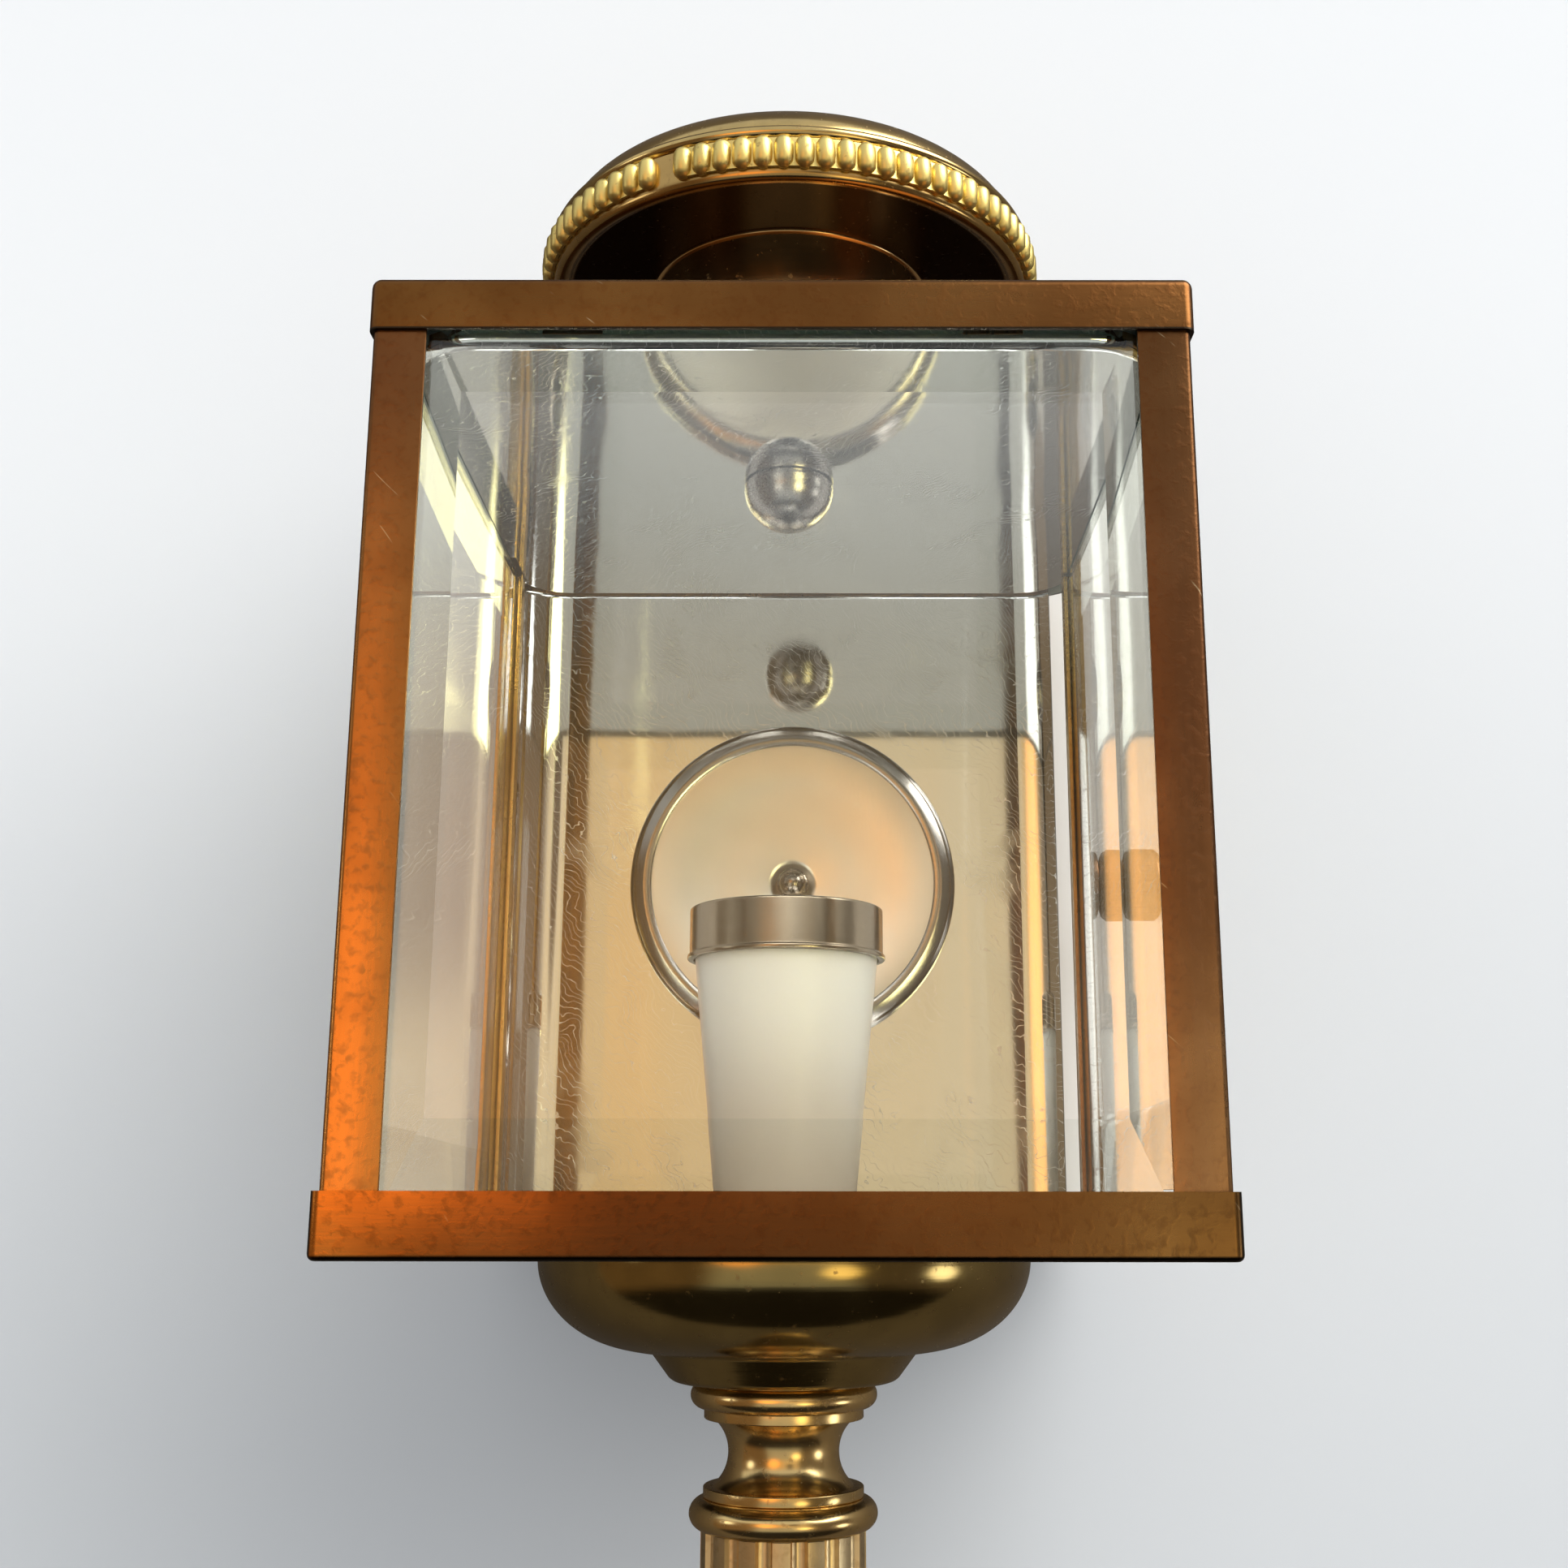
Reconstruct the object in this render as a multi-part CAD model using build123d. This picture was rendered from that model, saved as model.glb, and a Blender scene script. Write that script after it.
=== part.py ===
from build123d import *
import math
import os

# Lantern wall lamp with a bevelled glass box, a chimney and a fluted column.
# Lengths are millimetres. X points right, the front faces -Y and Z is up.
# The origin lies on the wall, at the stud that carries the lamp.

# Main sizes
body_half_width = 80.0
body_depth = 160.0
opening_height = 164.1
bracket_depth = 5.5
stud_rise = 81.5
axis_setback = 78.8

# Sheets and fits
brass_sheet = 1.0
tray_sheet = 0.8
cover_sheet = 0.8
liner_sheet = 0.6
plate_sheet = 0.8
roof_fit = 0.05
floor_fit = 0.5
layer_gap = 0.3
running_fit = 0.05

# Trays
floor_flange = 11.9
roof_flange = 11.2
floor_bend = 1.2
roof_bend = 2.0
least_bend = 0.2
front_corner_radius = 1.2
rear_corner_radius = 18.0
floor_hole_radius = 5.3
rod_hole_radius = 3.3
vent_radius = 4.0
vent_circle_radius = 19.0
vent_count = 8

# Uprights and rear post
upright_face = 10.5
fixed_leg = 10.5
door_leg = 5.0
post_setback = 144.5
post_flange = 17.5
post_lip = 4.0
cover_opening = 2.1
end_play = 0.02

# Glass
glass_thickness = 4.0
bevel_side = 6.5
bevel_end = 18.0
bevel_drop = 0.65
glass_fit = 0.2
front_glass_half_width = 70.2
front_glass_tuck = 5.0
side_glass_setback = 1.5
rest_length = 14.0
clip_length = 12.0
clip_height = 7.0

# Door
door_gap = 0.6
stile_length = 14.0
pin_radius = 1.5
pin_bore_depth = 8.0
hinge_block_width = 5.0
hinge_block_gap = 0.6
knob_height = -3.4
knob_setback = 139.0
knob_flange_radius = 8.8
knob_flange_thickness = 2.6
knob_neck_radius = 5.2
knob_neck_length = 1.7
knob_head_radius = 9.0
knob_head_length = 8.6
knob_knurls = 48
knob_knurl_depth = 0.35
knob_edge = 0.5
knob_rivet_radius = 1.6
knob_rivet_length = 7.0
catch_width = 16.0
catch_thickness = 0.6
catch_height = 13.0
catch_fold = 4.0

# Ceiling and floor plates
ceiling_inset = 2.8
plate_front_setback = 8.0
ceiling_corner_radius = 16.0
ceiling_lip = 4.0
ceiling_bend = 2.4

# Chimney
neck_radius = 33.0
neck_height = 37.5
neck_wall = 0.8
flange_radius = 36.2
flange_height = 3.2
pan_radius = 57.5
pan_wall = 7.6
pan_edge_roll = 1.8
pan_hole_radius = 27.0
pan_roll_width = 4.4
pan_roll_crest = 1.9
gallery_sheet = 0.7
gallery_rise = 0.2
gallery_height = 7.4
bead_round = 1.5
bead_gap = 0.1
bead_count = 81
bead_depth = 2.0
seam_beads = 1
seam_angle = -117.0
lid_overhang = 0.9
lid_height = 21.0
lid_sheet = 0.8
lid_roll = 1.6
rod_radius = 3.0
rod_spacer_radius = 6.0
rod_engagement = 7.0
dome_nut_radius = 10.6
dome_nut_rim = 0.8
lid_finial_radius = 7.0
lid_finial_height = 7.0
lid_finial_round = 4.2

# Reflector and wall fixing
reflector_radius = 43.8
reflector_rim_radius = 3.0
reflector_bow = 0.5
reflector_sheet = 0.7
dimple_radius = 6.0
dimple_depth = 1.2
reflector_nut_radius = 4.3
reflector_nut_base = 2.4
reflector_nut_dome = 4.0
stud_radius = 2.5
stud_head_radius = 5.0
stud_head_height = 1.6
stud_engagement = 4.5
bracket_length = 104.0
bracket_width = 26.0
bracket_sheet = 2.0
bracket_crown = 44.0
wall_screw_spacing = 84.0
wall_screw_radius = 2.6
pad_radius = 5.0
pad_drop = 62.0
pad_spread = 48.0

# Lampholder
holder_ring_radius = 21.6
holder_ring_sheet = 0.9
holder_ring_height = 11.5
holder_ring_bead = 0.7
holder_bead_proud = 0.5
holder_top = 61.9
holder_lip = 5.0
sleeve_top_radius = 20.5
sleeve_bottom_radius = 14.4
sleeve_wall = 1.4
sleeve_tuck = 2.0
shell_bore_radius = 13.3
shell_wall = 0.6
shell_depth = 23.0
shell_setback = 1.0
insert_radius = 17.0
insert_floor = 2.0
contact_width = 7.0
contact_thickness = 0.5
contact_rise = 2.2
contact_span = 16.0
contact_hole_radius = 1.6
base_radius = 11.6
base_height = 22.0
tube_socket = 8.0

# Centre tube and nuts
tube_radius = 5.0
tube_bore = 3.6
nut_across = 17.0
nut_height = 4.0

# Bowl
bowl_radius = 52.8
bowl_rim = 1.5
bowl_belly_height = 18.9
bowl_belly_reach = 23.1
bowl_cove_radius = 1.6
bowl_skirt_angle = 52.5
bowl_skirt_length = 6.0
bowl_foot_round = 3.0
bowl_sheet = 0.8
bowl_lip = 6.0
grommet_radius = 5.0
grommet_bore = 3.5
grommet_length = 9.0
grommet_drop = 7.5
terminal_length = 30.0
terminal_width = 16.0
terminal_height = 12.0
terminal_bore = 1.8

# Turned stem and column
stem_bead_radius = 19.8
stem_bead_height = 5.4
stem_ring_radius = 16.9
stem_ring_height = 2.1
scotia_height = 13.4
scotia_end_radius = 14.6
scotia_neck_radius = 11.7
lower_ring_height = 2.2
ring_bead_radius = 19.8
ring_bead_height = 6.3
column_radius = 17.3
column_length = 112.0
column_wall = 3.2
flute_count = 15
flute_radius = 2.1
flute_depth = 1.5
spigot_length = 6.0
foot_bead_height = 6.3
foot_cove_height = 14.0
foot_end_radius = 9.0
ball_radius = 11.0
ball_neck_radius = 7.3
ball_neck_height = 3.5
tip_radius = 3.2

# Places worked out from the sizes above
front_y = -(bracket_depth + body_depth)
back_y = -bracket_depth
axis_y = front_y + axis_setback
tray_top = -stud_rise
tray_floor = tray_top - floor_flange + tray_sheet
floor_under = tray_top - floor_flange
roof_edge = tray_top + opening_height
roof_under = roof_edge + roof_flange - tray_sheet
roof_top = roof_edge + roof_flange
frame_top = roof_under - roof_bend + tray_sheet
post_y = front_y + post_setback
post_back = post_y + brass_sheet
glass_outer_x = body_half_width - brass_sheet
glass_inner_x = glass_outer_x - glass_thickness - 2 * glass_fit
stile_inner_x = glass_inner_x - brass_sheet
plate_top = tray_floor + plate_sheet
ceiling_top = roof_edge + plate_sheet
nose_radius = (body_half_width - stile_inner_x) / 2
hinge_x = body_half_width - nose_radius
hinge_y = front_y + door_leg + hinge_block_gap + nose_radius
door_bottom = tray_top + door_gap
door_top = roof_edge - door_gap
door_height = door_top - door_bottom

os.makedirs("parts", exist_ok=True)


def save(name, shape):
    """Write one named piece."""
    export_step(shape, "parts/" + name + ".step")


def slab(x0, x1, y0, y1, z0, z1):
    """Box between two corners."""
    middle = Pos((x0 + x1) / 2, (y0 + y1) / 2, (z0 + z1) / 2)
    return middle * Box(abs(x1 - x0), abs(y1 - y0), abs(z1 - z0))


def disc(radius, z0, z1, x=0.0, y=None):
    """Upright cylinder between two heights, on the lamp axis unless placed."""
    place = axis_y if y is None else y
    return Pos(x, place, (z0 + z1) / 2) * Cylinder(radius, abs(z1 - z0))


def turned(*edges):
    """Solid of revolution on the lamp axis; the edges close a (radius, height) outline."""
    outline = make_face(Curve() + list(edges))
    return Pos(0, axis_y, 0) * revolve(Plane.XZ * outline, Axis.Z)


def turned_polygon(points):
    """Solid of revolution whose outline has straight sides only."""
    return turned(*Polyline(*points, close=True).edges())


def body_plan(grow, front_radius):
    """Body outline seen from above, grown outwards."""
    half = body_half_width + grow
    depth = body_depth + 2 * grow
    middle = (front_y + back_y) / 2
    plan = Pos(0, middle) * Rectangle(2 * half, depth)
    corners = plan.vertices().sort_by(Axis.Y)
    plan = fillet(corners[-2:], rear_corner_radius + grow)
    corners = plan.vertices().sort_by(Axis.Y)
    return fillet(corners[:2], front_radius)


def within_body(shape, z0, z1):
    """Trim a shape to the body outline, which rounds its outer corners."""
    return shape & extrude(Pos(0, 0, z0) * body_plan(0, front_corner_radius), z1 - z0)


def tray(clearance, closed_z, open_z, bend):
    """Folded tray around the body, closed at one height and open at the other."""
    low = min(closed_z, open_z)
    height = abs(open_z - closed_z)
    up = open_z > closed_z
    outer_plan = body_plan(clearance + tray_sheet, front_corner_radius + tray_sheet)
    outer = extrude(Pos(0, 0, low) * outer_plan, height)
    rim = outer.edges().group_by(Axis.Z)[0 if up else -1]
    outer = fillet(rim, bend)
    floor = closed_z + (tray_sheet if up else -tray_sheet)
    inner_plan = body_plan(clearance, front_corner_radius)
    inner = extrude(Pos(0, 0, min(floor, open_z)) * inner_plan, height - tray_sheet)
    rim = inner.edges().group_by(Axis.Z)[0 if up else -1]
    inner = fillet(rim, max(bend - tray_sheet, least_bend))
    return outer - inner


def pane(width, height):
    """Glass plate lying flat, with its polished bevels on the upper face."""
    edge = glass_thickness - bevel_drop
    plate = Pos(0, 0, edge / 2) * Box(width, height, edge)
    base = Pos(0, 0, edge) * Rectangle(width, height)
    face = Pos(0, 0, glass_thickness) * Rectangle(width - 2 * bevel_side, height - 2 * bevel_end)
    return plate + loft([base, face], ruled=True)


def stand(shape, x, y, z, outward):
    """Turn a flat pane upright, with its bevels facing the given way."""
    across = {"front": (1, 0, 0), "left": (0, -1, 0), "right": (0, 1, 0)}[outward]
    normal = {"front": (0, -1, 0), "left": (-1, 0, 0), "right": (1, 0, 0)}[outward]
    return Plane(origin=(x, y, z), x_dir=across, z_dir=normal) * shape


def channel(side, z0, z1):
    """Rear post section: a web towards the front and flanges that hold a glass edge."""
    web = slab(side * stile_inner_x, side * body_half_width, post_y, post_back, z0, z1)
    outer = slab(side * glass_outer_x, side * body_half_width, post_back - post_flange, post_back, z0, z1)
    lip = slab(side * stile_inner_x, side * glass_inner_x, post_y - post_lip, post_back, z0, z1)
    return within_body(web + outer + lip, z0, z1)


def hexagon_nut(z0, bore, x=0.0, y=None):
    """Hexagon nut standing on a height."""
    place = axis_y if y is None else y
    body = extrude(Pos(x, place, z0) * RegularPolygon(nut_across / 2, 6, major_radius=False), nut_height)
    return body - disc(bore, z0 - 1, z0 + nut_height + 1, x, place)


# Floor tray, with a hole for the centre tube
floor_tray = tray(floor_fit, floor_under, tray_top, floor_bend)
floor_tray -= disc(floor_hole_radius, floor_under - 1, tray_floor + 1)
save("floor_tray", floor_tray)

# Roof tray, with a hole for the rod and a ring of vents inside the chimney
roof_tray = tray(roof_fit, roof_top, roof_edge, roof_bend)
roof_tray -= disc(rod_hole_radius, roof_under - 1, roof_top + 1)
for vent in PolarLocations(vent_circle_radius, vent_count):
    roof_tray -= Pos(0, axis_y, roof_top) * vent * Cylinder(vent_radius, 4 * tray_sheet)
save("roof_tray", roof_tray)


def upright(side, leg_depth):
    """Front corner angle: a face towards the front and a leg along the side."""
    inner = side * (body_half_width - upright_face)
    outer = side * body_half_width
    face = slab(inner, outer, front_y, front_y + brass_sheet, tray_floor, frame_top)
    leg = slab(side * glass_outer_x, outer, front_y, front_y + leg_depth, tray_floor, frame_top)
    return within_body(face + leg, tray_floor, frame_top)


save("front_left_upright", upright(-1, fixed_leg))
save("front_right_upright", upright(1, door_leg))

# Rear left post, which holds the left glass and the end of the back cover
save("rear_left_post", channel(-1, tray_floor, frame_top))

# Back cover, bent round both rear corners and open towards the door
cover_right = stile_inner_x - cover_opening
cover_left_end = post_back + end_play


def rear_shell(inset, sheet, z0, z1):
    """Sheet bent to the rear of the body, a distance inside its outline."""
    radius = front_corner_radius
    outer = extrude(Pos(0, 0, z0) * body_plan(-inset, radius), z1 - z0)
    inner = extrude(Pos(0, 0, z0) * body_plan(-inset - sheet, radius), z1 - z0)
    shell = outer - inner
    far = 2 * body_half_width
    shell -= slab(-far, far, front_y - far, cover_left_end, z0 - 1, z1 + 1)
    return shell - slab(cover_right, far, front_y, far, z0 - 1, z1 + 1)


back_cover = rear_shell(0, cover_sheet, tray_floor, frame_top)
stud_hole = Rot(90, 0, 0) * Cylinder(stud_radius + running_fit, 6 * bracket_depth)
back_cover -= stud_hole
save("back_cover", back_cover)

# Back liner, a mirror sheet inside the back cover
liner_inset = cover_sheet + layer_gap
back_liner = rear_shell(liner_inset, liner_sheet, tray_floor, roof_edge) - stud_hole
liner_face_y = back_y - liner_inset - liner_sheet
save("back_liner", back_liner)

# Floor plate on the floor tray, in front of the liner
plate_half = stile_inner_x - layer_gap
plate_front = front_y + plate_front_setback
lip_front = post_y - post_lip
floor_plate = slab(-plate_half, plate_half, plate_front, lip_front - layer_gap, tray_floor, plate_top)
rear_half = body_half_width - rear_corner_radius
floor_plate += slab(-rear_half, rear_half, plate_front, liner_face_y - layer_gap, tray_floor, plate_top)
floor_plate -= disc(floor_hole_radius, tray_floor - 1, plate_top + 1)
save("floor_plate", floor_plate)

# Ceiling plate, a mirror tray whose rounded edge turns up, notched for the rear post
ceiling_half = body_half_width - ceiling_inset
ceiling_rear = liner_face_y - layer_gap
ceiling_middle = (plate_front + ceiling_rear) / 2


def ceiling_block(inset, low):
    """Upper side or underside of the ceiling tray, filled up to its lip."""
    plan = Rectangle(2 * (ceiling_half - inset), ceiling_rear - plate_front - 2 * inset)
    plan = fillet(plan.vertices(), ceiling_corner_radius - inset)
    block = extrude(Pos(0, ceiling_middle, low) * plan, roof_edge + ceiling_lip - low)
    return fillet(block.edges().group_by(Axis.Z)[0], ceiling_bend - inset)


ceiling_plate = ceiling_block(0, roof_edge) - ceiling_block(plate_sheet, ceiling_top)
ceiling_plate -= disc(rod_hole_radius, roof_edge - 1, ceiling_top + 1)
notch_x = layer_gap - stile_inner_x
ceiling_plate -= slab(-body_half_width, notch_x, post_back - post_flange - layer_gap,
                      post_back + layer_gap, roof_edge - 1, roof_edge + ceiling_lip + 1)
save("ceiling_plate", ceiling_plate)

# Front glass, behind the faces of the uprights and tucked into both trays
glass_bottom = tray_top - front_glass_tuck
front_glass_height = opening_height + 2 * front_glass_tuck
glass_middle = glass_bottom + front_glass_height / 2
front_pane = pane(2 * front_glass_half_width, front_glass_height)
front_glass_y = front_y + brass_sheet + glass_fit
front_glass = stand(front_pane, 0, front_glass_y + glass_thickness, glass_middle, "front")
save("front_glass", front_glass)

# Left glass, between the front upright and the rear post
side_front = front_y + side_glass_setback
side_rear = post_y - glass_fit
side_top = roof_edge - layer_gap
side_height = side_top - glass_bottom
side_x = glass_inner_x + glass_fit
side_pane = pane(side_rear - side_front, side_height)
left_glass = stand(side_pane, -side_x, (side_front + side_rear) / 2, glass_bottom + side_height / 2, "left")
save("left_glass", left_glass)

# Rests under the two fixed panes
rest_y = front_glass_y + glass_thickness
rest_spread = front_glass_half_width - 2 * rest_length
glass_rests = Part()
for rest_x in (-rest_spread, rest_spread):
    glass_rests += slab(rest_x - rest_length / 2, rest_x + rest_length / 2,
                        front_glass_y, rest_y, tray_floor, glass_bottom)
for rest_middle in (side_front + 2 * rest_length, side_rear - 2 * rest_length):
    glass_rests += slab(-side_x - glass_thickness, -side_x, rest_middle - rest_length / 2,
                        rest_middle + rest_length / 2, tray_floor, glass_bottom)
save("glass_rests", glass_rests)


def clip(x, wall_z, foot_z):
    """Small angle behind the front glass; its foot is fixed to a tray."""
    left = x - clip_length / 2
    right = x + clip_length / 2
    back = rest_y + layer_gap
    step = plate_sheet if wall_z > foot_z else -plate_sheet
    wall = slab(left, right, back, back + plate_sheet, foot_z, wall_z)
    return wall + slab(left, right, back, plate_front - layer_gap, foot_z, foot_z + step)


# Clips that keep both fixed panes against the brass
glass_clips = Part()
for clip_x in (-rest_spread, rest_spread):
    glass_clips += clip(clip_x, tray_floor + clip_height, tray_floor)
    glass_clips += clip(clip_x, roof_under - clip_height, roof_under)
side_clip_x = -side_x + layer_gap
side_clip = slab(side_clip_x, side_clip_x + plate_sheet, side_front + layer_gap,
                 side_front + clip_length, plate_top, plate_top + clip_height)
side_clip += slab(side_clip_x, side_clip_x + clip_height, side_front + plate_front_setback,
                  side_front + clip_length, plate_top, plate_top + plate_sheet)
glass_clips += side_clip
save("glass_clips", glass_clips)

# Door front stile, a channel with a round nose that turns on the hinge pins
slot_front = hinge_y + nose_radius + layer_gap
stile_rear = slot_front + stile_length
front_stile = slab(stile_inner_x, body_half_width, hinge_y, stile_rear, door_bottom, door_top)
front_stile += disc(nose_radius, door_bottom, door_top, hinge_x, hinge_y)
front_stile -= slab(glass_inner_x, glass_outer_x, slot_front, stile_rear + 1, door_bottom - 1, door_top + 1)
pin_bore_radius = pin_radius + running_fit
front_stile -= disc(pin_bore_radius, door_bottom - 1, door_bottom + pin_bore_depth, hinge_x, hinge_y)
front_stile -= disc(pin_bore_radius, door_top - pin_bore_depth, door_top + 1, hinge_x, hinge_y)
save("door_front_stile", front_stile)

# Door rear stile, which carries the knob
knob_y = front_y + knob_setback
rivet_hole = Pos(body_half_width, knob_y, knob_height) * Rot(0, 90, 0) * Cylinder(
    knob_rivet_radius + running_fit, 3 * brass_sheet)
rear_stile = channel(1, door_bottom, door_top) - rivet_hole
save("door_rear_stile", rear_stile)

# Door glass, cemented into both stiles
door_glass_front = slot_front + glass_fit
door_pane = pane(side_rear - door_glass_front, door_height)
door_glass = stand(door_pane, side_x, (door_glass_front + side_rear) / 2,
                   door_bottom + door_height / 2, "right")
save("door_glass", door_glass)

# Door knob, turned with a flange, a groove and a knurled head
knob_groove_x = knob_flange_thickness + knob_neck_length
knob_length = knob_groove_x + knob_head_length
knob_bore = knob_rivet_radius + running_fit
knob_outline = make_face(Polyline(
    (0, 0), (knob_flange_radius, 0), (knob_flange_radius, knob_flange_thickness - knob_edge),
    (knob_flange_radius - knob_edge, knob_flange_thickness),
    (knob_neck_radius, knob_flange_thickness + knob_neck_length / 2),
    (knob_head_radius - knob_edge, knob_groove_x), (knob_head_radius, knob_groove_x + knob_edge),
    (knob_head_radius, knob_length - 2 * knob_edge), (knob_head_radius - 2 * knob_edge, knob_length),
    (0, knob_length), close=True))
knob = revolve(Plane.XZ * knob_outline, Axis.Z)
knurl_side = math.sqrt(2) * knob_knurl_depth
knurl_cutter = Pos(knob_head_radius, 0, knob_groove_x + knob_head_length / 2) * Rot(0, 0, 45) * Box(
    knurl_side, knurl_side, knob_head_length + knob_neck_length)
for knurl in PolarLocations(0, knob_knurls):
    knob -= knurl * knurl_cutter
knob -= Cylinder(knob_bore, 2 * knob_rivet_length)
knob_place = Pos(body_half_width, knob_y, knob_height) * Rot(0, 90, 0)
save("door_knob", knob_place * knob)

# Knob rivet, closed flush with the inside of the stile
rivet_run = knob_rivet_length + brass_sheet
knob_rivet = Pos(0, 0, rivet_run / 2 - brass_sheet) * Cylinder(knob_rivet_radius, rivet_run)
save("knob_rivet", knob_place * knob_rivet)


def hinge_block(z0, z1):
    """Block that holds one hinge pin in a tray."""
    half = hinge_block_width / 2
    block = slab(hinge_x - half, hinge_x + half, hinge_y - half, hinge_y + half, z0, z1)
    return block - disc(pin_bore_radius, min(z0, z1) - 1, max(z0, z1) + 1, hinge_x, hinge_y)


# Hinge blocks and pins at the bottom and the top of the door
save("hinge_bottom_block", hinge_block(tray_floor, tray_top))
save("hinge_top_block", hinge_block(roof_edge, frame_top))
pin_reach = pin_bore_depth - layer_gap
save("hinge_bottom_pin", disc(pin_radius, tray_floor, door_bottom + pin_reach, hinge_x, hinge_y))
save("hinge_top_pin", disc(pin_radius, door_top - pin_reach, roof_under, hinge_x, hinge_y))

# Door catch, a leaf spring on the floor plate that the rear stile rides past
catch_outer = stile_inner_x - layer_gap - running_fit
catch_rear = lip_front - 2 * layer_gap
door_catch = slab(catch_outer - catch_thickness, catch_outer, catch_rear - catch_width, catch_rear,
                  plate_top, plate_top + catch_height)
door_catch += slab(catch_outer - catch_fold, catch_outer, catch_rear - catch_width, catch_rear,
                   plate_top, plate_top + catch_thickness)
save("door_catch", door_catch)

# Chimney flange, a half-round ring over the joint with the roof
flange_bore = neck_radius + running_fit
flange_middle = roof_top + flange_height / 2
save("chimney_flange", turned(
    Line((flange_bore, roof_top + flange_height), (flange_bore, roof_top)),
    Line((flange_bore, roof_top), (flange_radius - flange_height / 2, roof_top)),
    ThreePointArc((flange_radius - flange_height / 2, roof_top), (flange_radius, flange_middle),
                  (flange_radius - flange_height / 2, roof_top + flange_height)),
    Line((flange_radius - flange_height / 2, roof_top + flange_height),
         (flange_bore, roof_top + flange_height))))

# Chimney neck
pan_z = roof_top + neck_height
save("chimney_neck", disc(neck_radius, roof_top, pan_z)
     - disc(neck_radius - neck_wall, roof_top - 1, pan_z + 1))

# Chimney pan, a flat dish with a rolled lower edge and an upturned wall
pan_top = pan_z + pan_wall
pan_inner = pan_radius - lid_sheet
roll_start = pan_radius - pan_roll_width
save("chimney_pan", turned(
    Line((pan_hole_radius, pan_z), (roll_start, pan_z)),
    ThreePointArc((roll_start, pan_z), (pan_radius - pan_roll_crest, pan_z - pan_edge_roll),
                  (pan_radius, pan_z + gallery_rise)),
    Line((pan_radius, pan_z + gallery_rise), (pan_radius, pan_top)),
    Line((pan_radius, pan_top), (pan_inner, pan_top)),
    Line((pan_inner, pan_top), (pan_inner, pan_z + plate_sheet)),
    Line((pan_inner, pan_z + plate_sheet), (pan_hole_radius, pan_z + plate_sheet)),
    Line((pan_hole_radius, pan_z + plate_sheet), (pan_hole_radius, pan_z))))

# Bead gallery, a stamped strip of upright beads with one seam
gallery_inner = pan_radius + running_fit
gallery_outer = gallery_inner + gallery_sheet
gallery_z = pan_z + gallery_rise
bead_pitch = 2 * math.pi * gallery_outer / bead_count
gallery_plan = Circle(gallery_outer)
for bead in range(bead_count - seam_beads):
    turn = math.radians(seam_angle + 360 * (bead + (1 + seam_beads) / 2) / bead_count)
    bead_middle = gallery_outer + bead_depth - bead_pitch / 2
    bead_place = Pos(bead_middle * math.cos(turn), bead_middle * math.sin(turn))
    gallery_plan += bead_place * Circle((bead_pitch - bead_gap) / 2)
gallery_plan -= Circle(gallery_inner)
bead_outer = gallery_outer + bead_depth
bead_top = gallery_z + gallery_height
round_crest = bead_round * (1 - math.sqrt(0.5))
barrel = turned(
    Line((gallery_inner, gallery_z), (bead_outer - bead_round, gallery_z)),
    ThreePointArc((bead_outer - bead_round, gallery_z),
                  (bead_outer - round_crest, gallery_z + round_crest),
                  (bead_outer, gallery_z + bead_round)),
    Line((bead_outer, gallery_z + bead_round), (bead_outer, bead_top - bead_round)),
    ThreePointArc((bead_outer, bead_top - bead_round),
                  (bead_outer - round_crest, bead_top - round_crest),
                  (bead_outer - bead_round, bead_top)),
    Line((bead_outer - bead_round, bead_top), (gallery_inner, bead_top)),
    Line((gallery_inner, bead_top), (gallery_inner, gallery_z)))
bead_gallery = extrude(Pos(0, axis_y, gallery_z) * gallery_plan, gallery_height) & barrel
save("bead_gallery", bead_gallery)

# Chimney lid, a shallow dome with a rolled edge that stands on the pan's wall
lid_radius = pan_radius + lid_overhang
roll_middle_r = lid_radius - lid_roll
roll_middle_z = pan_top + lid_roll
lid_top = roll_middle_z + lid_height


def dome_solid(radius, height):
    """Half ellipsoid over the rolled edge."""
    return turned(
        EllipticalCenterArc((0, roll_middle_z), radius, height, 0, arc_size=90),
        Line((0, roll_middle_z + height), (0, roll_middle_z)),
        Line((0, roll_middle_z), (radius, roll_middle_z)))


chimney_lid = dome_solid(roll_middle_r, lid_height) - dome_solid(roll_middle_r - lid_sheet,
                                                                 lid_height - lid_sheet)
chimney_lid += Pos(0, axis_y, roll_middle_z) * Torus(roll_middle_r, lid_roll)
chimney_lid -= disc(rod_hole_radius, lid_top - lid_height, lid_top + 1)
save("chimney_lid", chimney_lid)

# Dome nut, spacer, rod and finial, which clamp ceiling, roof, neck, pan and lid together
rod_bore = rod_radius + running_fit
dome_nut = disc(dome_nut_radius, roof_edge - dome_nut_rim, roof_edge)
lower_half = disc(dome_nut_radius, roof_edge - dome_nut_rim - dome_nut_radius, roof_edge - dome_nut_rim)
dome_nut += Pos(0, axis_y, roof_edge - dome_nut_rim) * Sphere(dome_nut_radius) & lower_half
dome_nut -= disc(rod_bore, roof_edge - rod_engagement, roof_edge + 1)
save("dome_nut", dome_nut)
save("rod_spacer", disc(rod_spacer_radius, ceiling_top, roof_under)
     - disc(rod_bore, ceiling_top - 1, roof_under + 1))
rod_end = lid_top + lid_finial_height / 2
save("chimney_rod", disc(rod_radius, roof_edge - rod_engagement + layer_gap, rod_end))
lid_finial = disc(lid_finial_radius, lid_top, lid_top + lid_finial_height)
lid_finial = fillet(lid_finial.edges().sort_by(Axis.Z)[-1], lid_finial_round)
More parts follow.
